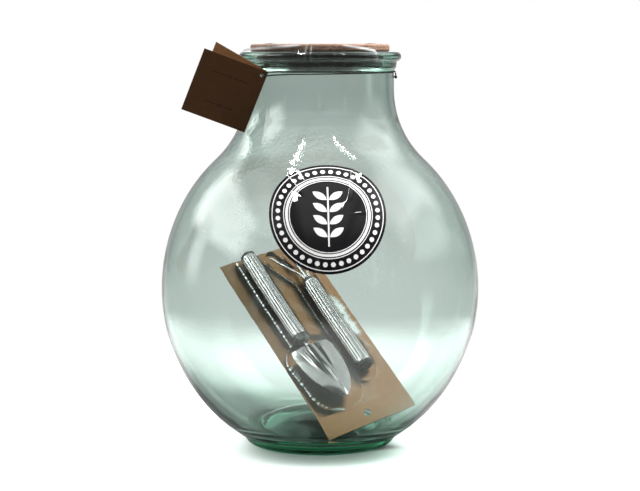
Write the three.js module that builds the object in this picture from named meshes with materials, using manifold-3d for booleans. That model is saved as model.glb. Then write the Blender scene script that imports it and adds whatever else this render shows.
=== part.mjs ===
// Glass terrarium: a round green-glass jar with a cork lid under shrink film, a folded tag on a neck cord,
// a round sticker on the front, and a carded trowel and fork standing inside.
// Units are millimetres. +Z is up, the front faces -Y, and the jar stands on z = 0.

import * as THREE from 'three';
import { mergeVertices } from 'three/addons/utils/BufferGeometryUtils.js';
import Module from 'manifold-3d';

const wasm = await Module();
wasm.setup();

// Fits
const GAP = 0.3; // between pieces that touch
const GLASS_GAP = 0.5; // between the jar's inside and what stands in it
const DEGREE = Math.PI / 180;

// Jar
const BULB_RADIUS = 150;
const BULB_MIDDLE = 149; // height of the widest ring
const BULB_UP = 161.5; // half height of the bulb's curve above that ring
const BULB_DOWN = 161; // and below it
const BULB_WALL = 5;
const BASE_WALL = 10; // the wall thickens to this at the bottom
const SHOULDER_FILLET = 90; // radius of the hollow curve from bulb to neck
const NECK_RADIUS = 69.5;
const NECK_WALL = 6.5;
const RIM_HEIGHT = 371.3;
const BEAD_SECTION = 4.2; // radius of the rim bead's round section
const BEAD_PROUD = 6.8; // how far the bead stands out from the neck
const COLLAR_PROUD = 1.9;
const COLLAR_DROP = 14.8; // from the rim's top to the collar's lower edge
const LIP = 2.5; // how far the lip stands in from the neck's inside
const LIP_DEPTH = 13;
const FOOT_RADIUS = 64;
const FOOT_HEIGHT = 9; // the heel runs from here down to the foot
const PUNT_RADIUS = 51; // the push-up under the base
const PUNT_DEPTH = 16;
const FLOOR_RADIUS = 55;
const FLOOR_EDGE = 12; // height of the inside floor where it meets the wall
const FLOOR_THICKNESS = 11; // at the middle of the push-up
const JAR_SIDES = 48;

// Lid and film
const LID_INSET = 4.3; // from the neck's outside in to the lid's edge
const LID_THICKNESS = 7;
const LID_EDGE = 1;
const PLUG_DEPTH = 16;
const PLUG_TAPER = 1.4;
const PLUG_CLEARANCE = 0.6;
const FILM = 0.3; // film thickness
const FILM_TOP_WIDTH = 20; // how far the film laps over the lid's top
const FILM_SKIRT = 8.5; // from the rim's top to the film's lower edge

// Cord and tag
const CORD_RADIUS = 0.7;
const CORD_DROP = 19; // from the rim's top to the cord
const CORD_TILT = 1.3; // the cord hangs this much lower at the tag, and higher opposite
const KNOT_TURN = 92; // degrees from the front, towards the right
const KNOT_RADIUS = 1.5;
const KNOT_DROP = 5.2; // from the cord to the knot's middle
const TAG_SIDE = 62;
const TAG_PAPER = 0.35;
const TAG_TURN = -42; // degrees from the front, towards the left
const TAG_STANDOFF = 3.2; // from the neck to the tag's fold
const TAG_DROP = 2.5; // from the cord's level to the fold beside the hole
const TAG_ROLL = 21.5; // degrees that the tag hangs turned in its own plane
const TAG_OPEN = 32; // degrees between the two leaves
const TAG_HOLE = 2.6; // radius
const TAG_HOLE_INSET = 5; // from the fold and from the top edge
const TAG_REST_GAP = 0.75; // between the fold and the shoulder it leans on

// Sticker
const LABEL_RADIUS = 53;
const LABEL_HEIGHT = 229; // height of its middle
const LABEL_TURN = 3.2; // degrees from the front, towards the right
const LABEL_THICKNESS = 0.2;

// Carded tools: X across the card, Y along it, Z out of its front
const CARD_WIDTH = 93;
const CARD_LENGTH = 244;
const CARD_THICKNESS = 1;
const CARD_OFFSET = [-5.1, 36.3]; // of the card's middle from the jar's axis
const CARD_LEAN = 36.5; // degrees up from lying flat
const CARD_ROLL = -13.9;
const CARD_TURN = 23.4;
const HANG_HOLE_RADIUS = 4;
const HANG_HOLE_INSET = 11.7;
const HANDLE_RADIUS = 8;
const HANDLE_LENGTH = 118;
const HANDLE_FLUTES = 14;
const FLUTE_DEPTH = 0.5;
const END_CAP = 4; // length of the cap on a handle's free end
const FERRULE_LENGTH = 6.5;
const FERRULE_TAPER = 0.8; // of the trowel's ferrule, as a share of its radius
const FORK_FERRULE = 0.66; // the fork's ferrule is slimmer by this share
const SHANK_RADIUS = 2.4;
const SHANK_LENGTH = 31; // measured along the handle's axis
const TROWEL_PLACE = [-18.3, -4];
const TROWEL_ANGLE = 0;
const BLADE_TOP = 18.5; // from the handle's end to the blade's shoulders
const BLADE_LENGTH = 70;
const BLADE_HALF_WIDTH = 21.5;
const BLADE_LIFT = 3.6; // of the blade's edges above the handle's axis
const BLADE_YAW = 4.5; // degrees that the blade points towards the fork
const BLADE_RIDGE = 3.4;
const BLADE_SHEET = 1.1;
const FORK_PLACE = [23.5, 58.2];
const FORK_ANGLE = -0.4;
const TINE_RADIUS = 1.25;
const TINE_LENGTH = 44; // past the ferrule
const TINE_SPREAD = 18.5; // of an outer tine's tip from the fork's axis
const TINE_PITCH = 2.9; // between the tines' roots
const TINE_DROP = 4.5; // how far the tips bend down towards the card
const TINE_SKEW = 2.3; // how far the tips stand over towards the trowel
const BLISTER_MARGIN = 1.5;
const BLISTER_SLOPE = 6;
const BLISTER_CLEARANCE = 1.6;

// Geometry helpers

/** Signed volume of an indexed geometry. */
function signedVolume(geometry) {
  const place = geometry.attributes.position;
  const index = geometry.index.array;
  const [a, b, c] = [new THREE.Vector3(), new THREE.Vector3(), new THREE.Vector3()];
  let sum = 0;
  for (let i = 0; i < index.length; i += 3) {
    a.fromBufferAttribute(place, index[i]);
    b.fromBufferAttribute(place, index[i + 1]);
    c.fromBufferAttribute(place, index[i + 2]);
    sum += a.dot(b.cross(c)) / 6;
  }
  return sum;
}

/** One closed body facing outwards: shared corners, no empty triangles. */
function closed(geometry) {
  geometry.deleteAttribute('normal');
  geometry.deleteAttribute('uv');
  const body = mergeVertices(geometry, 1e-4);
  const index = [];
  const old = body.index.array;
  for (let i = 0; i < old.length; i += 3) {
    const [a, b, c] = [old[i], old[i + 1], old[i + 2]];
    if (a !== b && b !== c && c !== a) index.push(a, b, c);
  }
  body.setIndex(index);
  if (signedVolume(body) < 0) {
    for (let i = 0; i < index.length; i += 3) [index[i], index[i + 1]] = [index[i + 1], index[i]];
    body.setIndex(index);
  }
  body.computeVertexNormals();
  return body;
}

/** A closed body from rows of points. Each row is a closed ring, and the rows wrap round if asked. */
function lofted(rows, wrapRows) {
  const across = rows[0].length;
  const points = rows.flat();
  const index = [];
  const last = wrapRows ? rows.length : rows.length - 1;
  for (let i = 0; i < last; i += 1) {
    const next = (i + 1) % rows.length;
    for (let j = 0; j < across; j += 1) {
      const k = (j + 1) % across;
      index.push(i * across + j, next * across + j, next * across + k);
      index.push(i * across + j, next * across + k, i * across + k);
    }
  }
  const geometry = new THREE.BufferGeometry().setFromPoints(points);
  geometry.setIndex(index);
  return closed(geometry);
}

/** A closed sheet between two grids of points of the same shape. */
function sheet(top, bottom) {
  const rows = top.length;
  const columns = top[0].length;
  const points = [...top.flat(), ...bottom.flat()];
  const under = rows * columns;
  const index = [];
  const quad = (a, b, c, d) => index.push(a, b, c, a, c, d);
  for (let i = 0; i < rows - 1; i += 1) {
    for (let j = 0; j < columns - 1; j += 1) {
      const a = i * columns + j;
      quad(a, a + 1, a + columns + 1, a + columns);
      quad(under + a, under + a + columns, under + a + columns + 1, under + a + 1);
    }
  }
  for (let j = 0; j < columns - 1; j += 1) {
    const end = (rows - 1) * columns + j;
    quad(j + 1, j, under + j, under + j + 1);
    quad(end, end + 1, under + end + 1, under + end);
  }
  for (let i = 0; i < rows - 1; i += 1) {
    const left = i * columns;
    const right = left + columns - 1;
    quad(left, left + columns, under + left + columns, under + left);
    quad(right + columns, right, under + right, under + right + columns);
  }
  const geometry = new THREE.BufferGeometry().setFromPoints(points);
  geometry.setIndex(index);
  return closed(geometry);
}

/** A profile of [radius, height] pairs turned about Z. */
function turned(profile, sides) {
  const points = profile.map(([r, z]) => new THREE.Vector2(r, z));
  return closed(new THREE.LatheGeometry(points, sides).rotateX(Math.PI / 2));
}

/** A turned body whose axis lies along Y. */
function turnedAlongY(profile, sides) {
  return turned(profile, sides).rotateX(-Math.PI / 2);
}

/** A round wire along a list of points. */
function wire(points, radius, steps, sides) {
  const section = new THREE.Shape().absarc(0, 0, radius, 0, Math.PI * 2);
  const extrudePath = new THREE.CatmullRomCurve3(points, false, 'centripetal');
  return closed(new THREE.ExtrudeGeometry(section, { steps, extrudePath, curveSegments: sides }));
}

/** Points of an arc as [radius, height] pairs. */
function arc(centre, radius, fromDegrees, toDegrees, steps) {
  return Array.from({ length: steps + 1 }, (_, i) => {
    const angle = (fromDegrees + ((toDegrees - fromDegrees) * i) / steps) * DEGREE;
    return [centre[0] + radius * Math.cos(angle), centre[1] + radius * Math.sin(angle)];
  });
}

/** A geometry as a manifold solid. */
function toManifold(geometry) {
  return new wasm.Manifold(new wasm.Mesh({
    numProp: 3,
    vertProperties: new Float32Array(geometry.attributes.position.array),
    triVerts: new Uint32Array(geometry.index.array),
  }));
}

/** The first geometry with the others cut away. */
function cut(geometry, cutters) {
  const rest = cutters.reduce((solid, cutter) => solid.subtract(toManifold(cutter)), toManifold(geometry));
  const mesh = rest.getMesh();
  const result = new THREE.BufferGeometry();
  result.setAttribute('position', new THREE.BufferAttribute(mesh.vertProperties, 3));
  result.setIndex(new THREE.BufferAttribute(mesh.triVerts, 1));
  return closed(result);
}

const root = new THREE.Group();

/** Adds a named piece to a group. */
function addPiece(group, name, geometry, colour, roughness, metalness, opacity = 1) {
  const material = new THREE.MeshStandardMaterial({
    color: colour, roughness, metalness, opacity, transparent: opacity < 1,
  });
  const mesh = new THREE.Mesh(geometry, material);
  mesh.name = name;
  group.add(mesh);
  return mesh;
}

// Jar

/** The bulb's half of a wall, from a height up to where the fillet reaches the neck. */
function bulbWall(radius, up, down, neck, fillet, bottom) {
  let low = 0;
  let high = Math.PI / 2;
  const normalAt = (t) => new THREE.Vector2(Math.cos(t) / radius, Math.sin(t) / up).normalize();
  for (let i = 0; i < 50; i += 1) {
    const middle = (low + high) / 2;
    const reach = radius * Math.cos(middle) + fillet * normalAt(middle).x;
    if (reach > neck + fillet) low = middle;
    else high = middle;
  }
  const normal = normalAt(low);
  const centre = [neck + fillet, BULB_MIDDLE + up * Math.sin(low) + fillet * normal.y];
  const start = -Math.asin((BULB_MIDDLE - bottom) / down);
  const lower = Array.from({ length: 8 }, (_, i) => {
    const t = start * (1 - i / 8);
    return [radius * Math.cos(t), BULB_MIDDLE + down * Math.sin(t)];
  });
  const upper = Array.from({ length: 6 }, (_, i) => {
    const t = (low * i) / 6;
    return [radius * Math.cos(t), BULB_MIDDLE + up * Math.sin(t)];
  });
  const slope = Math.atan2(normal.y, normal.x) / DEGREE;
  return [...lower, ...upper, ...arc(centre, fillet, 180 + slope, 180, 4)];
}

const neckInside = NECK_RADIUS - NECK_WALL;
const mouthRadius = neckInside - LIP;
const beadCentre = [NECK_RADIUS + BEAD_PROUD - BEAD_SECTION, RIM_HEIGHT - BEAD_SECTION];
const beadRadius = NECK_RADIUS + BEAD_PROUD;
const collarRadius = NECK_RADIUS + COLLAR_PROUD;
const collarBottom = RIM_HEIGHT - COLLAR_DROP;

const underside = [0, 0.35, 0.7, 1].map((share) => [PUNT_RADIUS * share, PUNT_DEPTH * (1 - share ** 2)]);
const bulbOutside = bulbWall(BULB_RADIUS, BULB_UP, BULB_DOWN, NECK_RADIUS, SHOULDER_FILLET, FOOT_HEIGHT);
const heelRadius = bulbOutside[0][0];
const outside = [
  [FOOT_RADIUS, 0],
  [FOOT_RADIUS + (heelRadius - FOOT_RADIUS) * 0.5, FOOT_HEIGHT * 0.3],
  ...bulbOutside,
  [NECK_RADIUS, collarBottom - COLLAR_PROUD],
  [collarRadius, collarBottom],
  ...arc(beadCentre, BEAD_SECTION, -90, 90, 6),
];
const lipCentre = [mouthRadius + LIP, RIM_HEIGHT - LIP];
const insideWall = bulbWall(BULB_RADIUS - BULB_WALL, BULB_UP - BULB_WALL, BULB_DOWN - BASE_WALL,
  neckInside, SHOULDER_FILLET + NECK_WALL, FLOOR_EDGE);
const inside = [
  ...arc(lipCentre, LIP, 90, 180, 3),
  [mouthRadius, RIM_HEIGHT - LIP_DEPTH],
  [neckInside, RIM_HEIGHT - LIP_DEPTH - 2 * LIP],
  ...insideWall.reverse(),
];
const floorRise = PUNT_DEPTH + FLOOR_THICKNESS - FLOOR_EDGE;
const floor = [1, 0.7, 0.35, 0].map((share) => [FLOOR_RADIUS * share, FLOOR_EDGE + floorRise * (1 - share ** 2)]);
const jarProfile = [...underside, ...outside, ...inside, ...floor];
const hollow = [[0, RIM_HEIGHT], ...inside, ...floor];
const filled = [...underside, ...outside, [0, RIM_HEIGHT]];

/** How deep a point lies within an outline turned about the axis, below zero outside it. */
function depthWithin(outline, point) {
  const r = Math.hypot(point.x, point.y);
  let nearest = Infinity;
  let within = false;
  for (let i = 0; i < outline.length - 1; i += 1) {
    const [r0, z0] = outline[i];
    const [r1, z1] = outline[i + 1];
    if ((z0 > point.z) !== (z1 > point.z) && r < r0 + ((point.z - z0) / (z1 - z0)) * (r1 - r0)) within = !within;
    const length = (r1 - r0) ** 2 + (z1 - z0) ** 2;
    if (length === 0) continue;
    const along = THREE.MathUtils.clamp(((r - r0) * (r1 - r0) + (point.z - z0) * (z1 - z0)) / length, 0, 1);
    nearest = Math.min(nearest, Math.hypot(r - r0 - along * (r1 - r0), point.z - z0 - along * (z1 - z0)));
  }
  return within ? nearest : -nearest;
}

addPiece(root, 'glass_vessel', turned(jarProfile, JAR_SIDES), 0xbfd0c8, 0.05, 0, 0.45);

// Lid and film

const lidRadius = NECK_RADIUS - LID_INSET;
const lidBottom = RIM_HEIGHT + GAP;
const lidTop = lidBottom + LID_THICKNESS;

addPiece(root, 'lid_disc', turned([
  [0, lidBottom],
  [lidRadius - LID_EDGE, lidBottom],
  [lidRadius, lidBottom + LID_EDGE],
  [lidRadius, lidTop - LID_EDGE],
  [lidRadius - LID_EDGE, lidTop],
  [0, lidTop],
], 48), 0x8a5f3e, 0.75, 0);

const plugTop = lidBottom - GAP;
const plugBottom = lidBottom - PLUG_DEPTH;
const plugRadius = mouthRadius - PLUG_CLEARANCE;
addPiece(root, 'lid_plug', turned([
  [0, plugBottom],
  [plugRadius - PLUG_TAPER - LID_EDGE, plugBottom],
  [plugRadius - PLUG_TAPER, plugBottom + LID_EDGE],
  [plugRadius, plugTop],
  [0, plugTop],
], 48), 0x9b6d45, 0.85, 0);

const filmInside = [
  [lidRadius - FILM_TOP_WIDTH, lidTop + GAP],
  [lidRadius - LID_EDGE, lidTop + GAP],
  [lidRadius + GAP, lidTop - LID_EDGE],
  [beadCentre[0] + BEAD_SECTION / 2, RIM_HEIGHT + GAP],
  [beadRadius + GAP, beadCentre[1] + BEAD_SECTION / 2],
  [beadRadius + GAP, RIM_HEIGHT - FILM_SKIRT],
];
const filmOutside = filmInside.map(([r, z], i) => (i < 2 ? [r, z + FILM] : [r + FILM, z + (i < 5 ? FILM : 0)]));
addPiece(root, 'shrink_film', turned([...filmInside, ...filmOutside.reverse(), filmInside[0]], 48),
  0xe8eeec, 0.1, 0, 0.3);

// Tag and cord

/** A point at a height, a turn in degrees from the front towards the right, and a radius. */
function aroundAxis(turnDegrees, radius, z) {
  return new THREE.Vector3(
    radius * Math.sin(turnDegrees * DEGREE),
    -radius * Math.cos(turnDegrees * DEGREE),
    z,
  );
}

const cordHeight = RIM_HEIGHT - CORD_DROP;
const cordRing = NECK_RADIUS + CORD_RADIUS + GAP;
const cordLevel = (turn) => cordHeight - CORD_TILT * Math.cos((turn - TAG_TURN) * DEGREE);

// The tag's own frame has its fold along Y at x = 0, the leaves towards -X, and Z towards the viewer.
const tag = new THREE.Group();
tag.position.copy(aroundAxis(TAG_TURN, NECK_RADIUS + TAG_STANDOFF, cordLevel(TAG_TURN) - TAG_DROP));
const tagBottom = TAG_HOLE_INSET - TAG_SIDE;
const steps = [0, 0.2, 0.4, 0.6, 0.8, 1];
const tagPoints = steps.flatMap((down) => [0, -TAG_OPEN].flatMap((turn) => steps.map((out) => (
  new THREE.Vector3(-TAG_SIDE * out, tagBottom * down, 0).applyAxisAngle(new THREE.Vector3(0, 1, 0), turn * DEGREE)
))));

/** Sets how far the tag leans, and returns how near its leaves then come to the glass. */
function leanTag(degrees) {
  tag.rotation.set(Math.PI / 2 + degrees * DEGREE, 0, -TAG_ROLL * DEGREE);
  tag.updateMatrixWorld(true);
  const placed = tagPoints.map((point) => point.clone().applyMatrix4(tag.matrixWorld));
  return Math.min(...placed.map((point) => -depthWithin(filled, point)));
}

let tagLean = 45;
while (tagLean > -45 && leanTag(tagLean) < TAG_REST_GAP) tagLean -= 0.05;

/** One leaf of the tag on its side of the fold: front is 1 for the front leaf, -1 for the back one. */
function tagLeaf(front) {
  const outline = new THREE.Shape([
    new THREE.Vector2(-GAP, TAG_HOLE_INSET),
    new THREE.Vector2(-TAG_SIDE, TAG_HOLE_INSET),
    new THREE.Vector2(-TAG_SIDE, tagBottom),
    new THREE.Vector2(-GAP, tagBottom),
  ]);
  outline.holes.push(new THREE.Path().absarc(-TAG_HOLE_INSET, 0, TAG_HOLE, 0, Math.PI * 2, true));
  const leaf = new THREE.ExtrudeGeometry(outline, { depth: TAG_PAPER, bevelEnabled: false, curveSegments: 16 });
  return closed(leaf.translate(0, 0, front > 0 ? GAP / 2 : -GAP / 2 - TAG_PAPER));
}

addPiece(tag, 'tag_front_leaf', tagLeaf(1), 0x3e3123, 0.8, 0);
const backLeaf = addPiece(tag, 'tag_back_leaf', tagLeaf(-1), 0x965f32, 0.8, 0);
backLeaf.rotation.y = -TAG_OPEN * DEGREE;
root.add(tag);
tag.updateMatrixWorld(true);

// The cord comes off the neck, goes through the two holes, straight back between them, and on round the neck.
const tagPoint = (x, y, z) => new THREE.Vector3(x, y, z).applyMatrix4(tag.matrixWorld);
const threadStart = tagPoint(-TAG_HOLE_INSET + 0.8, 0, 0.9);
const threadMiddle = tagPoint(-TAG_HOLE_INSET + 0.1, 0, -1.2);
const threadEnd = tagPoint(-TAG_HOLE_INSET + 0.3, 0, -4);
const threadAway = Math.acos(cordRing / Math.hypot(threadStart.x, threadStart.y)) / DEGREE;
const threadTurn = (point) => Math.atan2(point.x, -point.y) / DEGREE;
const leaveTurn = threadTurn(threadEnd) - Math.acos(
  Math.min(1, cordRing / Math.hypot(threadEnd.x, threadEnd.y))) / DEGREE;
const arriveTurn = threadTurn(threadStart) + threadAway;
const ringSteps = 32;
const ringSpan = 360 - (arriveTurn - leaveTurn);
const cordPoints = [];
for (let i = 0; i <= ringSteps; i += 1) {
  const turn = arriveTurn + (ringSpan * i) / ringSteps;
  cordPoints.push(aroundAxis(turn, cordRing, cordLevel(turn)));
}
const leavePoint = cordPoints[ringSteps];
const arrivePoint = cordPoints[0];
cordPoints.push(leavePoint.clone().lerp(threadEnd, 0.5), threadEnd, threadMiddle, threadStart);
cordPoints.push(threadStart.clone().lerp(arrivePoint, 0.35), threadStart.clone().lerp(arrivePoint, 0.7));

/** A closed loop of cord through points. */
function cordLoop(points, radius, sides) {
  const path = new THREE.CatmullRomCurve3(points, true, 'centripetal');
  const rows = [];
  const steps = points.length * 2;
  for (let i = 0; i < steps; i += 1) {
    const at = path.getPoint(i / steps);
    const along = path.getTangent(i / steps);
    const side = new THREE.Vector3().crossVectors(along, new THREE.Vector3(0, 0, 1)).normalize();
    const up = new THREE.Vector3().crossVectors(side, along).normalize();
    rows.push(Array.from({ length: sides }, (_, j) => {
      const angle = (j / sides) * Math.PI * 2;
      const [across, above] = [radius * Math.cos(angle), radius * Math.sin(angle)];
      return at.clone().addScaledVector(side, across).addScaledVector(up, above);
    }));
  }
  return lofted(rows, true);
}

addPiece(root, 'neck_cord', cordLoop(cordPoints, CORD_RADIUS, 8), 0x14130f, 0.8, 0);

const knotTop = cordLevel(KNOT_TURN) - CORD_RADIUS - GAP;
const knotMiddle = cordLevel(KNOT_TURN) - KNOT_DROP;
const knot = addPiece(root, 'cord_knot', turned([
  [0, knotMiddle - KNOT_RADIUS],
  ...arc([0, knotMiddle], KNOT_RADIUS, -60, 60, 4),
  [CORD_RADIUS, knotTop],
  [0, knotTop],
], 10), 0x14130f, 0.8, 0);
knot.position.copy(aroundAxis(KNOT_TURN, cordRing + KNOT_RADIUS - CORD_RADIUS, 0));

// Sticker

/** A point on the bulb's outside near the sticker's middle, at a distance out from the glass. */
function onBulb(across, up, out) {
  const lift = (angle) => BULB_MIDDLE + BULB_UP * Math.sin(angle);
  const middle = Math.asin((LABEL_HEIGHT - BULB_MIDDLE) / BULB_UP);
  const pace = Math.hypot(BULB_RADIUS * Math.sin(middle), BULB_UP * Math.cos(middle));
  const angle = middle + up / pace;
  const normal = new THREE.Vector2(Math.cos(angle) / BULB_RADIUS, Math.sin(angle) / BULB_UP).normalize();
  const radius = BULB_RADIUS * Math.cos(angle) + normal.x * out;
  const turn = LABEL_TURN + across / (BULB_RADIUS * Math.cos(angle)) / DEGREE;
  return aroundAxis(turn, radius, lift(angle) + normal.y * out);
}

/** A round sticker as rings of points on the glass. */
function stickerBody() {
  const sides = 40;
  const ring = (share, out) => Array.from({ length: sides }, (_, j) => {
    const angle = (j / sides) * Math.PI * 2;
    const reach = LABEL_RADIUS * share;
    return onBulb(reach * Math.cos(angle), reach * Math.sin(angle), out);
  });
  const shares = [0, 0.25, 0.5, 0.75, 1];
  const top = shares.map((share) => ring(share, GAP + LABEL_THICKNESS));
  const bottom = shares.map((share) => ring(share, GAP)).reverse();
  return lofted([...top, ...bottom], false);
}

addPiece(root, 'label_sticker', stickerBody(), 0x0d0d0e, 0.3, 0);

// Carded tools

const pack = new THREE.Group();
const handleLift = HANDLE_RADIUS + GAP;

/** The card's outline, with its round hang hole near the lower edge. */
function cardBody() {
  const [w, h] = [CARD_WIDTH / 2, CARD_LENGTH / 2];
  const outline = new THREE.Shape([
    new THREE.Vector2(-w, -h),
    new THREE.Vector2(w, -h),
    new THREE.Vector2(w, h),
    new THREE.Vector2(-w, h),
  ]);
  outline.holes.push(new THREE.Path().absarc(0, HANG_HOLE_INSET - h, HANG_HOLE_RADIUS, 0, Math.PI * 2, true));
  const plate = new THREE.ExtrudeGeometry(outline, { depth: CARD_THICKNESS, bevelEnabled: false });
  return closed(plate.translate(0, 0, -CARD_THICKNESS));
}

addPiece(pack, 'tool_card', cardBody(), 0xa6937c, 0.85, 0);

/** A fluted handle along +Y from y = 0, its axis at z = 0. */
function handleBody() {
  const corners = HANDLE_FLUTES * 2;
  const outline = new THREE.Shape(Array.from({ length: corners }, (_, i) => {
    const angle = (i / corners) * Math.PI * 2;
    const radius = HANDLE_RADIUS - (i % 2) * FLUTE_DEPTH;
    return new THREE.Vector2(radius * Math.cos(angle), radius * Math.sin(angle));
  }));
  const bar = new THREE.ExtrudeGeometry(outline, { depth: HANDLE_LENGTH, bevelEnabled: false });
  return closed(bar.rotateX(-Math.PI / 2));
}

/** The cap on a handle's free end, along +Y. */
function capBody() {
  const radius = HANDLE_RADIUS - FLUTE_DEPTH;
  return turnedAlongY([
    [0, 0],
    [radius, 0],
    [radius, END_CAP * 0.6],
    [radius - END_CAP * 0.4, END_CAP],
    [0, END_CAP],
  ], 20);
}

/** The collar on a handle's working end, along +Y. */
function ferruleBody(radius) {
  return turnedAlongY([
    [0, 0],
    [radius, 0],
    [radius, FERRULE_LENGTH * 0.35],
    [radius * FERRULE_TAPER, FERRULE_LENGTH],
    [0, FERRULE_LENGTH],
  ], 20);
}

/** A group for one tool, its handle's working end at a place on the card and its axis above it. */
function toolGroup(place, degrees) {
  const group = new THREE.Group();
  group.position.set(place[0], place[1], handleLift);
  group.rotation.z = degrees * DEGREE;
  pack.add(group);
  return group;
}

const socketDepth = FERRULE_LENGTH * 0.6;

// The trowel points down the card: its handle runs to +Y and its blade to -Y.
const trowel = toolGroup(TROWEL_PLACE, TROWEL_ANGLE);
addPiece(trowel, 'trowel_handle', handleBody(), 0xb9bcbc, 0.3, 1);
const trowelCap = addPiece(trowel, 'trowel_end_cap', capBody(), 0x2a2c2c, 0.5, 0.2);
trowelCap.position.y = HANDLE_LENGTH + GAP;
const shankTop = -GAP - FERRULE_LENGTH + socketDepth;
const shankEnd = shankTop - SHANK_LENGTH;
const shankLift = BLADE_LIFT + BLADE_RIDGE * 0.97 - SHANK_RADIUS - GAP;

/** A point of the blade's frame in the trowel's: past the shoulders it turns by the blade's yaw. */
function onBlade(x, y, z) {
  const yaw = BLADE_YAW * DEGREE;
  return new THREE.Vector3(x, y + BLADE_TOP, z)
    .applyAxisAngle(new THREE.Vector3(0, 0, 1), yaw)
    .add(new THREE.Vector3(0, -BLADE_TOP, 0));
}

// The shank leaves the ferrule straight, rises, and ends under the blade's ridge.
const shankRun = (radius) => wire([
  new THREE.Vector3(0, shankTop, 0),
  new THREE.Vector3(0, -GAP - FERRULE_LENGTH - 1, 0),
  new THREE.Vector3(0, -(GAP + FERRULE_LENGTH + BLADE_TOP) / 2, shankLift / 2),
  new THREE.Vector3(0, -BLADE_TOP + 1.5, shankLift),
  onBlade(0, -BLADE_TOP - 4, shankLift),
  onBlade(0, shankEnd, shankLift),
], radius, 12, 6);
const ferruleRadius = HANDLE_RADIUS - FLUTE_DEPTH;
const trowelFerrule = ferruleBody(ferruleRadius).rotateZ(Math.PI).translate(0, -GAP, 0);
addPiece(trowel, 'trowel_ferrule', cut(trowelFerrule, [shankRun(SHANK_RADIUS + GAP)]), 0x2f3130, 0.45, 0.3);
addPiece(trowel, 'trowel_shank', shankRun(SHANK_RADIUS), 0xc4c6c6, 0.3, 1);

/** The blade's half width at a share of its length from the shoulders to the tip. */
function bladeHalfWidth(share) {
  const shoulder = 0.9 + 0.1 * Math.min(1, share / 0.1);
  return BLADE_HALF_WIDTH * shoulder * Math.max(0.03, (1 - share ** 3) ** 0.8);
}

/** The pressed blade: a ridge along its middle that lies on the shank's end. */
function bladeBody() {
  const shares = [0, 0.1, 0.25, 0.4, 0.55, 0.7, 0.8, 0.9, 0.96, 1];
  const across = [-1, -0.75, -0.5, -0.25, 0, 0.25, 0.5, 0.75, 1];
  const surface = (lift) => shares.map((share) => across.map((side) => onBlade(
    side * bladeHalfWidth(share),
    -BLADE_TOP - share * BLADE_LENGTH,
    BLADE_LIFT + lift + BLADE_RIDGE * (1 - Math.abs(side) ** 1.4) * (1 - share ** 3),
  )));
  return sheet(surface(BLADE_SHEET), surface(0));
}

addPiece(trowel, 'trowel_blade', bladeBody(), 0xc9cbcb, 0.28, 1);

// The fork points up the card: its tines run to +Y and its handle to -Y.
const fork = toolGroup(FORK_PLACE, FORK_ANGLE);
addPiece(fork, 'fork_handle', handleBody().translate(0, -HANDLE_LENGTH, 0), 0xb9bcbc, 0.3, 1);
const forkCap = capBody().rotateZ(Math.PI).translate(0, -HANDLE_LENGTH - GAP, 0);
addPiece(fork, 'fork_end_cap', forkCap, 0x1f2020, 0.5, 0.2);
const tineRoot = GAP + FERRULE_LENGTH - socketDepth;
const tineStart = GAP + FERRULE_LENGTH;

/** One tine as a bent wire: side is -1, 0 or 1 across the fork. */
function tineBody(side, radius) {
  const root = side * TINE_PITCH;
  const reach = side * TINE_SPREAD;
  const bend = [[0, 0], [0.12, 0.04], [0.4, 0.42], [0.75, 0.86], [0.92, 1], [1, 1.02]];
  const drop = [0, 0, 0.05, 0.25, 0.55, 1];
  const points = bend.map(([along, out], i) => new THREE.Vector3(
    root + (reach - root) * out - TINE_SKEW * along,
    tineStart + TINE_LENGTH * along,
    -TINE_DROP * drop[i],
  ));
  return wire([new THREE.Vector3(root, tineRoot, 0), ...points], radius, 14, 4);
}

const tines = { fork_tine_left: -1, fork_tine_middle: 0, fork_tine_right: 1 };
const sockets = Object.values(tines).map((side) => tineBody(side, TINE_RADIUS + GAP));
const forkFerrule = ferruleBody(ferruleRadius * FORK_FERRULE).translate(0, GAP, 0);
addPiece(fork, 'fork_ferrule', cut(forkFerrule, sockets), 0x8b8e8e, 0.4, 0.8);
for (const [name, side] of Object.entries(tines)) {
  addPiece(fork, name, tineBody(side, TINE_RADIUS), 0xc0c2c2, 0.3, 1);
}

// Film over the tools

/** A point of a tool, in the tool's own frame, as a place on the card. */
function onCard(group, x, y) {
  group.updateMatrix();
  const point = new THREE.Vector3(x, y, 0).applyMatrix4(group.matrix);
  return new THREE.Vector2(point.x, point.y);
}

const gripEnd = HANDLE_LENGTH + END_CAP;
const ridges = [
  { from: onCard(trowel, 0, gripEnd), to: onCard(trowel, 0, -FERRULE_LENGTH), radius: HANDLE_RADIUS, lift: handleLift },
  { from: onCard(trowel, 0, 0), to: onCard(trowel, 0, shankEnd), radius: SHANK_RADIUS, lift: handleLift + shankLift },
  { from: onCard(fork, 0, -gripEnd), to: onCard(fork, 0, FERRULE_LENGTH), radius: HANDLE_RADIUS, lift: handleLift },
  ...[-1, 0, 1].map((side) => ({
    from: onCard(fork, side * TINE_PITCH, tineStart),
    to: onCard(fork, side * TINE_SPREAD - TINE_SKEW, tineStart + TINE_LENGTH),
    radius: TINE_RADIUS * 2.6,
    lift: handleLift,
  })),
];
const bladeRunStart = onBlade(0, -BLADE_TOP - BLADE_HALF_WIDTH * 0.4, 0);
const bladeRunEnd = onBlade(0, -BLADE_TOP - BLADE_LENGTH * 0.72, 0);
const bladeMiddle = {
  from: onCard(trowel, bladeRunStart.x, bladeRunStart.y),
  to: onCard(trowel, bladeRunEnd.x, bladeRunEnd.y),
  height: handleLift + BLADE_LIFT + BLADE_RIDGE + BLADE_SHEET + BLISTER_CLEARANCE,
};

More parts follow.
